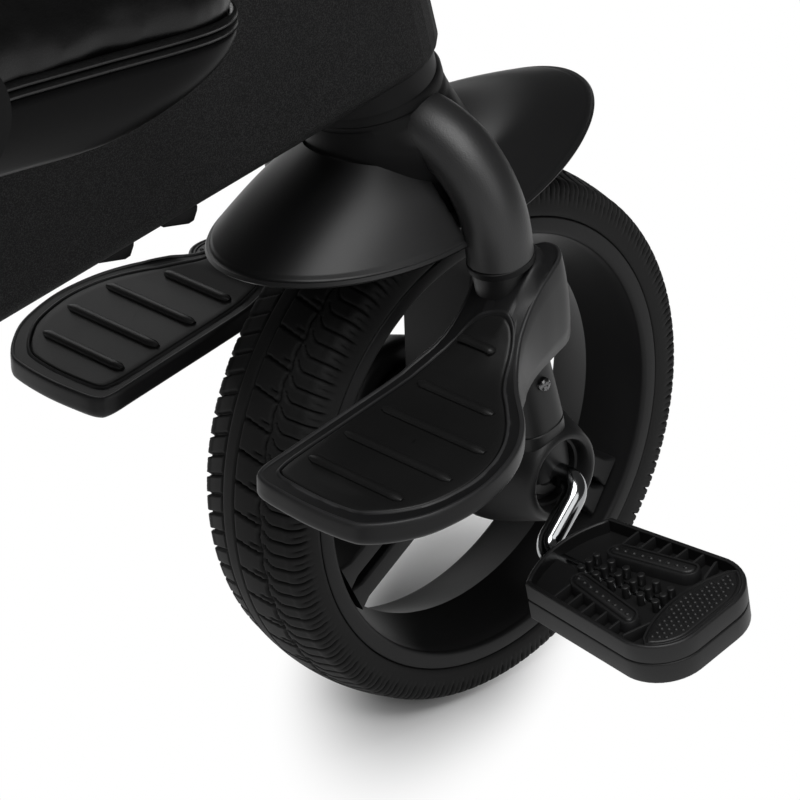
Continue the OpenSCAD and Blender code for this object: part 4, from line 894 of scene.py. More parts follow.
leg_finish = finish(
    "satin_plastic", moulded, 0.00003, 0.24, colour=(0.007, 0.007, 0.0072), grain=1900.0, gloss=(0.38, 0.50),
    wear=0.4,
)
bush_finish = finish(
    "bush_plastic", moulded, 0.00002, 0.35, colour=(0.012, 0.012, 0.0122), edge_colour=(0.03, 0.03, 0.03),
    gloss=(0.34, 0.46),
)
screw_finish = finish(
    "screw_steel", chrome, 0.00001, metallic=1.0, colour=(0.16, 0.16, 0.165), smear_colour=(0.1, 0.1, 0.1),
    gloss=(0.2, 0.38),
)
leg_shape = joined([lathe(BARREL, 72, ring=True), neck_shape()])
for side_name, sign in SIDES:
    build(
        f"fork_leg_moulding_{side_name}", mirrored(leg_shape, sign), at_axle, leg_finish, "steering",
        "satin_plastic", f"fork_leg_{side_name}", smooth_angle=50,
    )
    build(
        f"hub_bush_liner_{side_name}", mirrored(lathe(BUSH, 48, ring=True), sign), at_axle, bush_finish,
        "steering", "bush_plastic", f"hub_bush_{side_name}",
    )
build(
    "leg_screw_heads", joined([mirrored(screw_shape(), 1), mirrored(screw_shape(), -1)]), at_axle,
    screw_finish, "steering", "steel", "leg_screws",
)

# Footrests
# A tray runs back from each leg and sweeps up into a bracket that wraps the leg and the fork tube's end.
# Its outer edge turns into a tall skirt, and a ribbed rubber pad lies in the tray.
TRAY_SLOPE = math.radians(12.3)
TRAY_THICK = 10.0
TRAY_AT = (-66.0, 77.4)
# The ramp's rise over the tray's slope, by its place
RAMP_X = (-95, -85, -75, -66, -60, -55, -50, -45, -40, -30, -20, -5)
RAMP_UP = (0, 0.3, 2.2, 6.0, 9.5, 13.5, 18.5, 22.0, 25.0, 29.0, 31.0, 32.5)
RAMP_START = -75.0
RAMP_SOFT = 25.0
FALL_OUT = 0.38
FALL_OUT_FROM = 85.0
FALL_IN = 0.3
FALL_IN_FROM = 70.0
COLLAR_X = -35.0
COLLAR_START = -48.0
COLLAR_RUN = 14.0
COLLAR_UP = 7.0
COLLAR_SOFT = 4.5
SKIRT_DEEP = 45.0
# Each rib: its place, and its ends beside the wheel
RIBS = [
    (-60.0, 66.0, 89.0), (-86.0, 66.0, 114.5), (-109.0, 66.0, 132.0), (-132.0, 66.0, 134.0),
    (-154.0, 66.0, 126.0),
]
RIB_R = 2.9
RIB_FLAT = 0.7
RIB_LIFT = 0.3
RIB_END = 0.45
RIB_STEPS = 18
RIB_SIDES = 14
# Each row is one ray of the tray: the rim's x and y, the pad edge's x and y,
# and the skirt's foot where there is one
TRAY_RAYS = [
    (-178.0, 58.0, -170.0, 64.0), (-180.0, 75.0, -171.5, 76.0), (-180.5, 95.0, -172.0, 95.0),
    (-179.0, 115.0, -170.5, 112.0), (-176.0, 125.0, -167.5, 120.0), (-166.0, 136.5, -159.5, 129.5),
    (-152.0, 145.5, -148.0, 137.5), (-131.0, 150.0, -130.5, 141.5), (-113.0, 148.0, -115.0, 140.0),
    (-97.0, 142.0, -101.5, 134.5), (-84.0, 132.5, -90.0, 126.0), (-74.0, 120.5, -80.5, 116.0),
    (-66.0, 111.0, -73.5, 107.5, -64.0, 112.0, 67.5), (-58.5, 103.5, -66.5, 101.5, -54.0, 104.0, 65.5),
    (-52.0, 98.5, -60.0, 97.5, -46.0, 97.5, 65.0), (-46.0, 95.5, -55.0, 94.5, -36.0, 91.5, 65.5),
    (-36.5, 92.5, -51.0, 91.0, -27.0, 88.0, 67.0), (-24.0, 89.5, -49.0, 87.5, -14.0, 85.0, 70.0),
    (-12.5, 85.5, -48.3, 83.5, -3.0, 82.5, 73.0), (-7.5, 79.5, -48.6, 80.0, 2.0, 79.0, 78.0),
    (-7.0, 73.0, -49.3, 76.5, 3.5, 73.0, 84.0), (-10.0, 66.0, -51.0, 72.5, -1.0, 65.0, 86.0),
    (-18.0, 59.0, -53.0, 69.0, -10.0, 59.0, 84.0), (-30.0, 55.0, -55.5, 66.5, -22.0, 55.0, 80.0),
    (-44.0, 55.0, -59.0, 65.0, -40.0, 54.5, 76.0), (-53.0, 55.0, -63.0, 63.5, -50.0, 54.5, 74.0),
    (-63.0, 54.0, -69.0, 62.0), (-75.0, 52.5, -77.0, 60.8), (-84.5, 52.0, -88.0, 60.2),
    (-105.0, 52.0, -106.0, 60.0), (-130.0, 52.0, -130.0, 60.0), (-155.0, 52.0, -153.0, 60.0),
    (-172.0, 52.5, -165.0, 60.8),
]
PAD_SPINE = [(-160.0, 92.0), (-120.0, 98.0), (-80.0, 84.0), (-62.0, 80.0)]
PAD_FLOOR = -1.6
PAD_TOP = 0.25


def surface_height(x, y):
    """Height of the footrest's top by its place: the flat tray, then the crowned ramp to the fork tube."""
    on_ramp = np.clip((x - RAMP_START) / RAMP_SOFT, 0, 1)
    fall = FALL_OUT * np.maximum(y - FALL_OUT_FROM, 0) + FALL_IN * np.maximum(FALL_IN_FROM - y, 0)
    from_tube = np.maximum(np.hypot(x - COLLAR_X, y - BOW_Y) - BOW_R, 0)
    collar = COLLAR_UP * np.exp(-(from_tube / COLLAR_SOFT) ** 2)
    collar = collar * np.clip((x - COLLAR_START) / COLLAR_RUN, 0, 1)
    tray = TRAY_AT[1] + math.tan(TRAY_SLOPE) * (x - TRAY_AT[0])
    return tray + np.interp(x, RAMP_X, RAMP_UP) - fall * on_ramp + collar


def closed_curve(points, steps):
    """A smooth closed curve through the given points, as many times finer."""
    p = np.asarray(points, float)
    a, b, c, d = np.roll(p, 1, 0), p, np.roll(p, -1, 0), np.roll(p, -2, 0)
    rows = []
    for t in np.arange(steps) / steps:
        curve = (2 * a - 5 * b + 4 * c - d) * t * t / 2 + (3 * b - a - 3 * c + d) * t ** 3 / 2
        rows.append(b + (c - a) * t / 2 + curve)
    return np.stack(rows, 1).reshape(-1, p.shape[1])


def moved_in(curve, amount, lift=0.0):
    """A closed curve in space moved inwards in plan, and up."""
    return at_height(inset_outline(curve[:, :2], amount), curve[:, 2] + lift)


tray_rays = []
for rim_x, rim_y, edge_x, edge_y, *foot in TRAY_RAYS:
    foot = foot or (rim_x, rim_y, surface_height(rim_x, rim_y) - TRAY_THICK)
    tray_rays.append((rim_x, rim_y, edge_x, edge_y, *foot))
tray_rays = closed_curve(tray_rays, 6)
rim_plan, edge_plan, rim_low = tray_rays[:, :2], tray_rays[:, 2:4], tray_rays[:, 4:]
spine = np.array(PAD_SPINE)
spine_x = np.clip(edge_plan[:, 0], spine[0, 0], spine[-1, 0])
spine_plan = np.column_stack((spine_x, np.interp(spine_x, spine[:, 0], spine[:, 1])))


def across(inner, outer, share, lift=0.0):
    """A loop between two plans, laid on the footrest's top or at a lift over it."""
    plan = inner + (outer - inner) * share
    return at_height(plan, surface_height(plan[:, 0], plan[:, 1]) + lift)


def pad_loop(amount, lift):
    """A loop beside the pad's edge."""
    return across(inset_outline(edge_plan, amount), edge_plan, 0.0, lift)


rim_top = across(rim_plan, rim_plan, 0.0)
skirt = np.clip((rim_top[:, 2] - rim_low[:, 2] - TRAY_THICK) / SKIRT_DEEP, 0, 1)
tray_loops = [across(edge_plan, spine_plan, s, PAD_FLOOR) for s in (1.0, 0.6, 0.25)]
for step in ((0.0, PAD_FLOOR), (-0.2, 0.3), (-0.7, 0.75), (-1.3, 0.6), (-1.8, 0.0)):
    tray_loops.append(pad_loop(*step))
tray_loops += [across(edge_plan, rim_plan, s) for s in np.linspace(0.2, 0.86, 9)]
for step in ((2.6, 0.0), (2.0, 0.5), (1.2, 0.7), (0.5, 0.3), (0.1, -0.8)):
    tray_loops.append(moved_in(rim_top, *step))
for share, swell in ((0.2, 0.8), (0.4, 1.4), (0.6, 1.4), (0.8, 0.8)):
    tray_loops.append(moved_in(rim_top + (rim_low - rim_top) * share, -swell * skirt))
tray_loops += [moved_in(rim_low, 0.3, 1.0), moved_in(rim_low, 1.4), moved_in(rim_low, 4.0, 1.0)]
tray_loops += [across(edge_plan, spine_plan, s, -TRAY_THICK) for s in (0.3, 1.0)]
footrest_shape = loft(tray_loops, caps=False)
pad_loops = [pad_loop(0.4, PAD_FLOOR), pad_loop(0.4, -0.3), pad_loop(0.8, 0.1), pad_loop(1.5, PAD_TOP)]
pad_loops += [across(edge_plan, spine_plan, s, PAD_TOP) for s in (0.15, 0.3, 0.5, 0.75, 1.0)]
pad_shapes = [loft(pad_loops, caps=False)]
for x, inner, outer in RIBS:
    path = [(x, y, surface_height(x, y) + RIB_LIFT) for y in np.linspace(inner, outer, RIB_STEPS)]
    rib_shares = np.array([RIB_END] + [1.0] * (RIB_STEPS - 2) + [RIB_END])
    points, faces = tube(path, RIB_R * rib_shares, RIB_SIDES)
    middle = np.repeat([p[2] for p in path], RIB_SIDES)
    points[:, 2] = middle + (points[:, 2] - middle) * RIB_FLAT
    pad_shapes.append((points, faces))
# Its much paler edges paint highlights on the tray's rims and the pad's bead, besides some wear
footrest_finish = finish(
    "footrest_plastic", moulded, 0.00002, 0.18, colour=(0.004, 0.004, 0.0042),
    edge_colour=(0.045, 0.045, 0.046), grain=2200.0, gloss=(0.34, 0.46), wear=0.8,
)
pad_finish = finish(
    "soft_rubber", rubber, 0.00003, 0.2, colour=(0.004, 0.004, 0.004), bloom_colour=(0.010, 0.010, 0.010),
    skin=1500.0, gloss=(0.36, 0.48),
)
for side_name, sign in SIDES:
    build(
        f"footrest_tray_{side_name}", mirrored(footrest_shape, sign), at_axle, footrest_finish, "steering",
        "footrest_plastic", f"footrest_{side_name}", smooth_angle=50,
    )
    build(
        f"footrest_rubber_{side_name}", mirrored(joined(pad_shapes), sign), at_axle, pad_finish, "steering",
        "soft_rubber", f"footrest_pad_{side_name}", smooth_angle=50,
    )

# Beam and head
# A large hollow moulding with a sandy black coat runs from the head to under the seat.
# Bearing cups sit above and below its head, and small clips stand under its edges.
CLIP_WEDGE = np.array([(-10.0, -0.2), (4.0, -2.4), (7.0, -1.6), (9.0, 2.6), (9.0, 5.0), (-10.0, 5.0)])
CLIP_INNER = 24.0
CLIP_OUTER = 31.6
CLIPS = ((-232.0, 168.0), (-196.0, 174.3))
# Sandy coat: pale flecks on black, raised as grains
sand, sandy, sand_where = effect_group(
    "sandy_coat", colour=(0.0012, 0.0012, 0.0013), fleck_colour=(0.019, 0.019, 0.0193), grain=1700.0,
)
sand_fleck = noise(sand, sand_where, sandy["Grain"], 2.0)
sand_mask = spread(sand, sand_fleck, start=0.45, stop=0.68)
end_group(
    sand, tint(sand, sand_mask, sandy["Colour"], sandy["Fleck Colour"]),
    spread(sand, noise(sand, sand_where, 12.0), 0.62, 0.78), sand_fleck,
)
beam_finish = finish("sandy_paint", sand, 0.0004, 0.18)


def dress(material, *nodes):
    """Gives CAD nodes their finish."""
    for node in nodes:
        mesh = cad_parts[node].data
        mesh.materials.clear()
        mesh.materials.append(material)


dress(beam_finish, "main_beam")
dress(head_finish, "head_bearing_lower", "head_bearing_upper", "stem_cover", "bar_clamp")
dress(tube_finish, "steerer_tube")
shell_finish = finish(
    "shell_plastic", moulded, 0.00003, 0.07, colour=(0.002, 0.002, 0.0021), grain=2000.0, gloss=(0.30, 0.42),
    wear=0.4,
)
clip_shapes = []
for clip_x, clip_z in CLIPS:
    points, faces = rounded_slab(CLIP_WEDGE, CLIP_INNER, CLIP_OUTER, 0.4, 2)
    clip = (points[:, (0, 2, 1)] + (clip_x, 0.0, clip_z), faces)
    clip_shapes += [clip, mirrored(clip, -1)]
build("beam_clip_wedges", joined(clip_shapes), at_axle, shell_finish, "frame", "shell_plastic", "beam_clips")

# Handlebar and grips
# A painted steel tube, bent back and up at both sides, held in the clamp on the steering tube.
# Each end carries a ribbed soft-rubber grip with a thumb flange and a thick end for falls.
BAR_R = 11.1
BAR_BEND = 60.0
BAR_CORNER = np.array((0.0, 42.0, 475.0))
BAR_SIDE = np.array((-0.2676, 0.951, 0.1545))
BAR_REACH = 118.8
GRIP_START = 22.8
GRIP_R = 15.5
GRIP_FLANGE_R = 20.0


def aimed(shape, start, direction):
    """Moves a lathe's shape so that its Y axis runs from a start along a direction."""
    points, faces = shape
    along = unit(np.asarray(direction, float))
    side = unit(square_to(along))
    return np.asarray(start, float) + points @ np.array((side, along, np.cross(side, along))), faces


def ribbed(start, length, radius, pitch, depth):
    """Profile of a grip's sleeve with rounded rings along it."""
    ring = ((0.0, 1.0), (0.14, 0.3), (0.3, 0.0), (0.62, 0.0), (0.78, 0.3), (0.9, 1.0))
    places = start + np.arange(0.0, length, pitch)
    return [(radius - depth * d, y + pitch * s) for y in places for s, d in ring]


bar_half = bend(BAR_CORNER, (0, 1, 0), BAR_SIDE, BAR_BEND, 14) + [BAR_CORNER + BAR_SIDE * BAR_REACH]
bar_path = [p * (1, -1, 1) for p in reversed(bar_half)] + bar_half
build(
    "handlebar_tube", tube(bar_path, BAR_R, 40), at_steer, tube_finish, "steering", "painted_tube",
    "handlebar",
)
grip_l = BAR_REACH - GRIP_START
grip_rows = [(BAR_R + 0.1, 0.0), (GRIP_FLANGE_R - 0.6, 0.0), (GRIP_FLANGE_R, 0.7), (GRIP_FLANGE_R, 3.3)]
grip_rows += [(GRIP_FLANGE_R - 0.6, 4.0), (GRIP_R, 4.6), (GRIP_R, 8.0)]
grip_rows += ribbed(9.0, grip_l - 16.0, GRIP_R, 6.4, 1.3)
grip_rows += [(GRIP_R, grip_l - 5.0), (GRIP_R + 0.6, grip_l - 1.0), (19.2, grip_l)]
grip_rows += [(GRIP_FLANGE_R, grip_l + 1.0), (18.6, grip_l + 3.4), (16.0, grip_l + 7.2)]
grip_rows += [(14.6, grip_l + 8.0), (4.0, grip_l + 8.0)]
grip_shape = aimed(lathe(grip_rows, 48), BAR_CORNER + BAR_SIDE * GRIP_START, BAR_SIDE)
for side_name, sign in SIDES:
    build(
        f"grip_sleeve_{side_name}", mirrored(grip_shape, sign), at_steer, pad_finish, "steering",
        "soft_rubber", f"grip_{side_name}", smooth_angle=50,
    )

# Seat pan
# A moulded boat-shaped shell under the cushion, deep at the back and drawn up to a thin front edge.
# Two ears at its back carry the pins of the reclining backrest.
PAN_FRONT = -215.0
PAN_REAR = -464.0
PAN_HALF_W = 123.0
PAN_TOP = 288.0
PAN_DEEP = 38.0
PAN_POWER = 6
PAN_WAIST = 0.08
PAN_FOOT = (-318.0, -440.0, 70.0)
HINGE = np.array((-476.0, 0.0, 304.0))
EAR_R = 13.0
EAR_Y = 112.0
EAR_HALF_T = 5.0


def seat_outline(front, rear, half_w, power, waist):
    """A rounded rectangle in plan whose sides draw in at the middle."""
    turns = full_turn(160)
    along = squared(np.cos(turns), 2 / power)
    aside = half_w * squared(np.sin(turns), 2 / power) * (1 - waist * (1 - along ** 2))
    return np.column_stack(((front + rear) / 2 + (front - rear) / 2 * along, aside))


def pan_loop(front_in, rear_in, side_in, height):
    """A loop of the pan, drawn in from its rim at the front, the rear and both sides."""
    plan = seat_outline(PAN_FRONT - front_in, PAN_REAR + rear_in, PAN_HALF_W - side_in, PAN_POWER, PAN_WAIST)
    return at_height(plan, height)


pan_loops = []
for lift, inset in ((-6.0, 40.0), (-0.6, 6.0), (0.0, 3.0), (0.0, 1.2), (-0.8, 0.2)):
    pan_loops.append(pan_loop(inset, inset, inset, PAN_TOP + lift))
for t in np.linspace(0.06, 1.0, 20):
    turn_in = 10.0 * np.clip((t - 0.8) / 0.2, 0, 1) ** 2 - 2.5 * math.sin(math.pi * t)
    drawn_in = (75.0 * t ** 1.6 + turn_in, 26.0 * t * t + turn_in, 15.0 * t ** 2.2 + turn_in)
    pan_loops.append(pan_loop(*drawn_in, PAN_TOP - PAN_DEEP * t))
pan_loops.append(at_height(seat_outline(*PAN_FOOT, PAN_POWER, 0.0), PAN_TOP - PAN_DEEP - 2.0))
pan_shapes = [loft(pan_loops)]
ear = arc((0.0, 0.0), EAR_R, 90, 180, 10) + [(-EAR_R, -22.0), (-6.0, -36.0), (25.0, -36.0), (25.0, -14.0)]
ear = np.array(ear + arc((8.0, -10.0), 14.0, 20, 80, 6))
for sign in (-1, 1):
    points, faces = rounded_slab(ear, -EAR_HALF_T, EAR_HALF_T, 1.2, 3)
    pan_shapes.append((HINGE + points[:, (0, 2, 1)] + (0.0, sign * EAR_Y, 0.0), faces))
build(
    "seat_pan_shell", joined(pan_shapes), at_axle, shell_finish, "frame", "shell_plastic", "seat_pan",
    smooth_angle=50,
)

# Seat cushion
# Foam in a sewn faux-leather cover with a corded seam round its foot and sewn channels across.
# The cover is blown up as cloth from the drawn form, so that it bulges between its seams.
VOXEL = 0.005
BLOW_FRAMES = 20
BLOW_PRESSURE = 4.0
BLOW_LIMIT = 0.006
EVEN_STEPS = 40
FOOT_BAND = 14.0
OUTLINE_RAYS = 144
RAY_HALF = 0.05
SEAM_DEPTH = 4.0
SEAM_HALF = 5.0
SEAM_LOW = 8.0
SEAM_LOW_SOFT = 10.0
SEAM_END_IN = 6.0
SEAM_END_SOFT = 12.0
CORD_R = 1.9
CORDS_UP = (1.2, 5.0)
SEAT_MIDDLE = (-348.0, 0.0, 288.3)
SEAT_FRONT_IN = 1.0
SEAT_REAR_IN = 2.0
SEAT_SIDE_IN = 1.0
SEAT_SEAMS = (-60.0, 0.0, 60.0)
# Leather grain: small pebbles with dark creases between, and gloss that changes with wear
leather, grain, leather_where = effect_group(
    "leather_grain", colour=(0.0045, 0.0045, 0.0046), crease_colour=(0.0015, 0.0015, 0.0015), pebbles=1000.0,
    gloss_low=0.30, gloss_high=0.36,
)
leather_links = [("Vector", leather_where), ("Scale", grain["Pebbles"])]
leather_cells = add_node(leather, "ShaderNodeTexVoronoi", leather_links, feature="DISTANCE_TO_EDGE")
leather_pebble = spread(leather, leather_cells.outputs["Distance"], stop=0.22)
end_group(
    leather, tint(leather, leather_pebble, grain["Crease Colour"], grain["Colour"]),
    spread(leather, noise(leather, leather_where, 90.0, 2.0), grain["Gloss Low"], grain["Gloss High"]),
    leather_pebble,
)
leather_finish = finish("faux_leather", leather, 0.00002, 0.25)
cord_finish = finish("faux_leather_cord", leather, 0.00002, 0.3, pebbles=1200.0, gloss=(0.24, 0.34))


def settled(thing):
    """The mesh of an object with its modifiers, as points and faces."""
    mesh = thing.evaluated_get(bpy.context.evaluated_depsgraph_get()).to_mesh()
    points = np.empty(len(mesh.vertices) * 3)
    mesh.vertices.foreach_get("co", points)
    faces = [tuple(face.vertices) for face in mesh.polygons]
    thing.to_mesh_clear()
    return points.reshape(-1, 3), faces


def blown_cover(node):
    """The node's form evened out to small faces and blown up as cloth."""
    cover = bpy.data.objects.new(node + "_cover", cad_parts[node].data.copy())
    scene.collection.objects.link(cover)
    even = cover.modifiers.new("even", "REMESH")
    even.mode = "VOXEL"
    even.voxel_size = VOXEL
    soften = cover.modifiers.new("soften", "SMOOTH")
    soften.factor = 0.5
    soften.iterations = 6
    start, faces = settled(cover)
    bpy.data.objects.remove(cover)
    mesh = bpy.data.meshes.new(node + "_cloth")
    mesh.from_pydata(start.tolist(), [], faces)
    cloth_piece = bpy.data.objects.new(node + "_cloth", mesh)
    scene.collection.objects.link(cloth_piece)
    cloth = cloth_piece.modifiers.new("stuffing", "CLOTH")
    cloth.settings.use_pressure = True
    cloth.settings.uniform_pressure_force = BLOW_PRESSURE
    cloth.settings.effector_weights.gravity = 0.0
    cloth.settings.quality = 6
    cloth.point_cache.frame_start = 1
    cloth.point_cache.frame_end = BLOW_FRAMES
    for step in range(1, BLOW_FRAMES + 1):
        scene.frame_set(step)
    moved = settled(cloth_piece)[0] - start
    scene.frame_set(1)
    bpy.data.objects.remove(cloth_piece)
    far = np.linalg.norm(moved, axis=1, keepdims=True)
    moved *= np.minimum(1.0, BLOW_LIMIT / np.maximum(far, 1e-9))
    ends = np.array([(face[i - 1], corner) for face in faces for i, corner in enumerate(face)])
    count = np.bincount(ends[:, 0], minlength=len(start))[:, None]
    for step in range(EVEN_STEPS):
        total = np.zeros_like(moved)
        np.add.at(total, ends[:, 0], moved[ends[:, 1]])
        moved = (moved + total / count) / 2
    return start + moved, faces


def sewn_cover(name, node, origin, axes, outline, seams, body):
    """A cushion: its blown cover drawn out to an outline and in at the seams, and two cords at its foot."""
    points, faces = blown_cover(node)
    axes = np.asarray(axes, float)
    local = (points - origin) @ axes.T / MM
    turns, reach = np.arctan2(local[:, 1], local[:, 0]), np.hypot(local[:, 0], local[:, 1])
    rays = np.linspace(-math.pi, math.pi, OUTLINE_RAYS + 1)[:-1]
    at_ray = [np.abs((turns - a + math.pi) % (2 * math.pi) - math.pi) < RAY_HALF for a in rays]
    own = np.array([reach[near & (local[:, 2] < FOOT_BAND)].max() for near in at_ray])
    own = (np.roll(own, 1) + own + np.roll(own, -1)) / 3
    outline_x, outline_y = outline.T
    outline_turns, outline_reach = np.arctan2(outline_y, outline_x), np.hypot(outline_x, outline_y)
    wanted = np.interp(rays, outline_turns, outline_reach, period=2 * math.pi)
    local[:, :2] *= np.interp(turns, rays, wanted / own, period=2 * math.pi)[:, None]
    up = np.clip((local[:, 2] - SEAM_LOW) / SEAM_LOW_SOFT, 0, 1)
    seam_end = np.abs(outline_y).max() - SEAM_END_IN
    inside = np.clip((seam_end - np.abs(local[:, 1])) / SEAM_END_SOFT, 0, 1)
    for seam in seams:
        local[:, 2] -= SEAM_DEPTH * np.exp(-((local[:, 0] - seam) / SEAM_HALF) ** 2) * up * inside

    def place(p):
        return origin + (p * MM) @ axes

    cover = build(name, (local, faces), place, leather_finish, body, "faux_leather", node, smooth_angle=75)
    finer = cover.modifiers.new("finer", "SUBSURF")
    finer.levels = finer.render_levels = 1
    finer_mesh = bpy.data.meshes.new_from_object(cover.evaluated_get(bpy.context.evaluated_depsgraph_get()))
    cover.modifiers.clear()
    cover.data = finer_mesh
    ahead = np.roll(outline, -1, 0) - np.roll(outline, 1, 0)
    outward = unit(at_height(np.column_stack((ahead[:, 1], -ahead[:, 0])), 0.0))
    upward = np.array((0.0, 0.0, 1.0))
    cords = []
    for height in CORDS_UP:
        path = at_height(outline, height)
        loops = [path + CORD_R * (math.cos(a) * outward + math.sin(a) * upward) for a in full_turn(10)]
        cords.append(loft(loops + loops[:1], caps=False))
    cord = build(name + "_cord", joined(cords), place, cord_finish, body, "faux_leather")


seat_front = PAN_FRONT - SEAT_MIDDLE[0] - SEAT_FRONT_IN
seat_rear = PAN_REAR - SEAT_MIDDLE[0] + SEAT_REAR_IN
seat_plan = seat_outline(seat_front, seat_rear, PAN_HALF_W - SEAT_SIDE_IN, PAN_POWER, PAN_WAIST)
sewn_cover("seat_cover", "seat_cushion", at_axle(SEAT_MIDDLE), np.eye(3), seat_plan, SEAT_SEAMS, "frame")

# Backrest
# A moulded plate with rounded corners on a hinge knuckle, which two steel pins hold in the pan's ears.
# Its cushion is made as the seat's.
BACK_LEAN = math.radians(12)
BACK_HIGH = 330.0
BACK_HALF_W = 107.0
BACK_CORNER = 60.0
BACK_FOOT = 14.0
BACK_PLACES = (60.0, 140.0, 210.0)
# Each step of the plate from its front to its back: how far it lies in, and how deep
BACK_STEPS = [
    (9.0, -0.1), (3.0, -0.1), (0.9, -0.8), (0.0, -3.0), (0.0, -10.0), (1.0, -12.6), (3.0, -13.8),
    (9.0, -13.8), (11.0, -12.4), (20.0, -12.4), (22.0, -11.2), (40.0, -11.2),
]
BACK_RIBS = (-60.0, -20.0, 20.0, 60.0)
BACK_RIB_LOW = 34.0
BACK_RIB_HIGH = 270.0
BACK_RIB_HALF_T = 2.0
BACK_RIB_DEPTHS = (-13.4, -10.0)
KNUCKLE = [(5.1, -90.0), (12.0, -90.0), (13.0, -89.0), (13.0, 89.0), (12.0, 90.0), (5.1, 90.0)]
BACK_SEAMS = (-72.0, 0.0, 72.0)
BACK_CUSHION_AT = (178.5, 0.0, 0.3)
BACK_CUSHION_HALF_L = 144.0
BACK_CUSHION_HALF_W = 104.5
BACK_CUSHION_POWER = 5
BACK_CUSHION_WAIST = 0.03
back_up = np.array((-math.sin(BACK_LEAN), 0.0, math.cos(BACK_LEAN)))
back_out = np.array((math.cos(BACK_LEAN), 0.0, math.sin(BACK_LEAN)))
back_axes = np.array((back_up, (0.0, 1.0, 0.0), back_out))


def at_back(points):
    """Millimetres up the backrest, across it and out of its front to the trike's frame."""
    return at_axle(HINGE + np.asarray(points, float) @ back_axes)


def back_outline(inset):
    """Outline of the backrest: square at its foot, with large rounds at its top."""
    half, top, corner = BACK_HALF_W - inset, BACK_HIGH - inset, BACK_CORNER - inset
    places = [BACK_FOOT + inset, *BACK_PLACES]
    points = [(place, -half) for place in places]
    points += arc((top - corner, corner - half), corner, -90, 0, 16)
    points += arc((top - corner, half - corner), corner, 0, 90, 16)
    return np.array(points + [(place, half) for place in reversed(places)])


back_shapes = [loft([at_height(back_outline(inset), depth) for inset, depth in BACK_STEPS])]
back_shapes.append(lathe(KNUCKLE, 40, ring=True))
for rib_y in BACK_RIBS:
    low_y, high_y = rib_y - BACK_RIB_HALF_T, rib_y + BACK_RIB_HALF_T
    rib = [(BACK_RIB_LOW, low_y), (BACK_RIB_HIGH, low_y), (BACK_RIB_HIGH, high_y), (BACK_RIB_LOW, high_y)]
    back_shapes.append(rounded_slab(np.array(rib), *BACK_RIB_DEPTHS, 0.6, 2))
build(
    "back_shell_moulding", joined(back_shapes), at_back, shell_finish, "backrest", "shell_plastic",
    "back_shell", smooth_angle=50,
)
dress(screw_finish, "recline_pins")
back_plan = seat_outline(
    BACK_CUSHION_HALF_L, -BACK_CUSHION_HALF_L, BACK_CUSHION_HALF_W, BACK_CUSHION_POWER, BACK_CUSHION_WAIST,
)
back_middle = at_back([BACK_CUSHION_AT])[0]
sewn_cover("back_cover", "back_cushion", back_middle, back_axes, back_plan, BACK_SEAMS, "backrest")

# Guard bar
# A bent tube pivots in two round sockets on the pan's sides and closes in front of the child.
# A foam sleeve covers its cross part.
HOOP_X = -393.0
HOOP_Z = 298.0
HOOP_IN_Y = 130.3
HOOP_Y = 154.0
HOOP_UP = 104.0
HOOP_REACH = 118.0
HOOP_R = 8.0
HOOP_FOOT_BEND = 14.0
HOOP_SIDE_BEND = 32.0
HOOP_FRONT_BEND = 64.0
FOAM_R = 16.0
FOAM_END = [(8.2, -90.0), (13.0, -90.0), (15.2, -88.8), (FOAM_R, -86.0)]
hoop_top = HOOP_Z + HOOP_UP
hoop_half = [(HOOP_X, HOOP_IN_Y, HOOP_Z)]
hoop_half += bend((HOOP_X, HOOP_Y, HOOP_Z), (0, 1, 0), (0, 0, 1), HOOP_FOOT_BEND, 10)
hoop_half += bend((HOOP_X, HOOP_Y, hoop_top), (0, 0, 1), (1, 0, 0), HOOP_SIDE_BEND, 12)
hoop_half += bend((HOOP_X + HOOP_REACH, HOOP_Y, hoop_top), (1, 0, 0), (0, -1, 0), HOOP_FRONT_BEND, 18)
hoop_path = hoop_half + [np.asarray(p) * (1, -1, 1) for p in reversed(hoop_half)]
build(
    "guard_bar_tube", tube(hoop_path, HOOP_R, 32), at_axle, shell_finish, "guard", "shell_plastic",
    "guard_bar",
)
# Foam cells: dark pits in a dull skin
foam, cells, foam_where = effect_group(
    "foam_cells", colour=(0.006, 0.006, 0.006), cell_colour=(0.002, 0.002, 0.002), cells=900.0,
)
foam_links = [("Vector", foam_where), ("Scale", cells["Cells"])]
foam_cell = add_node(foam, "ShaderNodeTexVoronoi", foam_links).outputs["Distance"]
end_group(
    foam, tint(foam, foam_cell, cells["Cell Colour"], cells["Colour"]),
    spread(foam, noise(foam, foam_where, 40.0), 0.8, 0.95), foam_cell,
)
foam_finish = finish("foam", foam, 0.0003, 0.2)
foam_rows = [(FOAM_R - 0.5 * math.cos(y * 0.14) ** 8, y) for y in np.linspace(-82, 82, 60)]
foam_rows = FOAM_END + foam_rows + [(r, -y) for r, y in reversed(FOAM_END)]
foam_points, foam_faces = lathe(foam_rows, 40, ring=True)
guard_foam = build(
    "guard_foam_sleeve", (foam_points + (HOOP_X + HOOP_REACH, 0.0, hoop_top), foam_faces), at_axle,
    foam_finish, "guard", "foam", "guard_foam",
)
dress(shell_finish, "guard_socket_right", "guard_socket_left")

# Rear axle and wheels
# A moulded post comes down from the beam to a housing across the trike, with a steel axle through it.
# Each rear wheel is a smaller copy of the front one, held by a nut under a cap.
REAR_AXLE = np.array((-520.0, 0.0, -25.0))
REAR_Y = 195.0
REAR_TYRE_R = 115.0
REAR_TYRE_HALF_W = 23.0
REAR_SIPES = 92
REAR_RIM = dict(
    flange=96.6, seat=92.0, lip=87.4, crease=79.35, hub=22.0, half_w=23.0, hub_half=23.0, bore=5.06,
    start=0.0, bar=9.0, slot=5.0, steps=192,
)


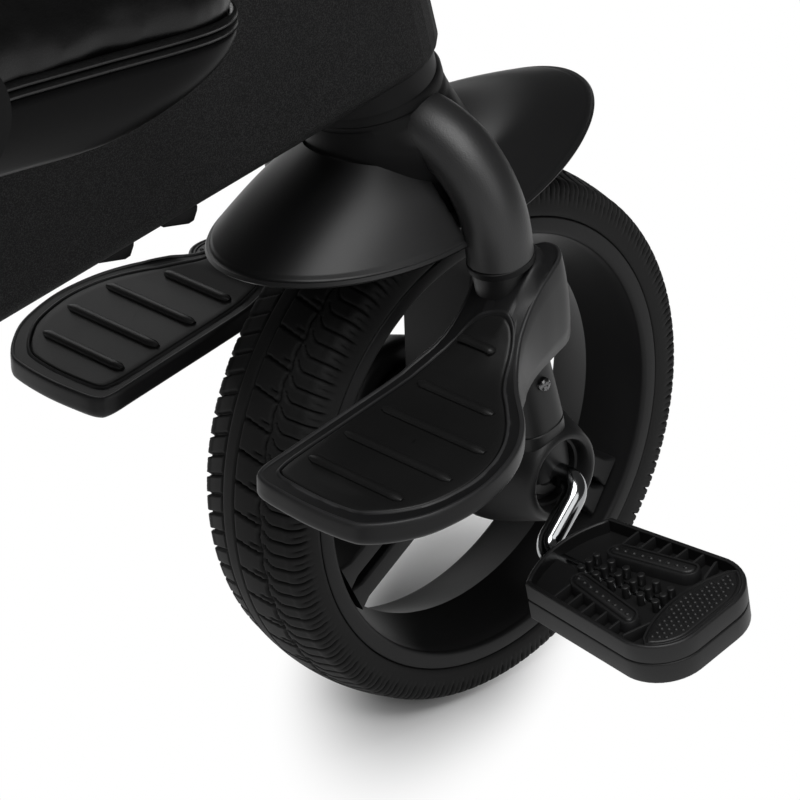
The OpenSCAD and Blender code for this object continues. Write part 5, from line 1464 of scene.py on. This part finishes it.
def at_rear(sign):
    """Places a wheel's points on the rear axle, on the right (-1) or left (1)."""
    return lambda points: at_axle(points * (1, sign, 1) + REAR_AXLE + (0.0, sign * REAR_Y, 0.0))


rear_rim = rim_shape(REAR_RIM)
rear_tyre = tyre_shape(REAR_TYRE_R, REAR_TYRE_HALF_W, REAR_RIM, REAR_SIPES, 8 * REAR_SIPES, 1.1)
for side_name, sign in SIDES:
    build(
        f"rear_rim_moulding_{side_name}", rear_rim, at_rear(sign), rim_finish, f"rear_wheel_{side_name}",
        "rim_plastic", f"rear_rim_{side_name}", smooth_angle=22,
    )
    build(
        f"rear_tyre_tread_{side_name}", rear_tyre, at_rear(sign), tyre_finish, f"rear_wheel_{side_name}",
        "tyre_rubber", f"rear_tyre_{side_name}", smooth_angle=75,
    )
dress(rim_finish, "hub_cap_right", "hub_cap_left")
dress(shell_finish, "rear_post", "axle_housing")
dress(screw_finish, "rear_axle", "axle_nuts", "brake_pin")
dress(leg_finish, "brake_pedal")

# Push handle
# A painted socket tube stands behind the seat, and an anodised tube slides in it under a clamping collar.
# A button on the collar frees the slide, and the cross bar on top has two ribbed grips.
PUSH_R = 17.0
PUSH_BORE_R = 11.1
PUSH_START = 22.0
PUSH_END = [(PUSH_R, 97.5), (PUSH_R, 101.0), (16.4, 102.4), (15.0, 103.0), (PUSH_BORE_R, 103.0)]
alloy_finish = finish(
    "push_alloy", chrome, 0.00001, metallic=1.0, colour=(0.10, 0.10, 0.105),
    smear_colour=(0.07, 0.07, 0.072), gloss=(0.26, 0.38),
)
button_finish = finish(
    "button_plastic", moulded, 0.00002, 0.4, colour=(0.04, 0.04, 0.041), edge_colour=(0.07, 0.07, 0.071),
)
grip_low, grip_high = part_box("push_grip")
push_middle = np.array((grip_low + grip_high) / 2)
push_rows = [(PUSH_BORE_R, 0.0), (15.6, 0.0), (16.8, 0.8), (PUSH_R, 2.0), (PUSH_R, 5.0)]
push_rows += ribbed(6.0, 90.0, PUSH_R, 7.5, 1.4) + PUSH_END
push_sleeve = aimed(lathe(push_rows, 48, ring=True), (0.0, PUSH_START, 0.0), (0.0, 1.0, 0.0))
build(
    "push_grip_sleeves", joined([mirrored(push_sleeve, 1), mirrored(push_sleeve, -1)]),
    lambda points: push_middle + points * MM, pad_finish, "push_handle", "soft_rubber", "push_grip",
    smooth_angle=50,
)
dress(tube_finish, "push_socket")
dress(alloy_finish, "push_tube")
dress(leg_finish, "push_bar", "push_collar")
dress(button_finish, "height_button")
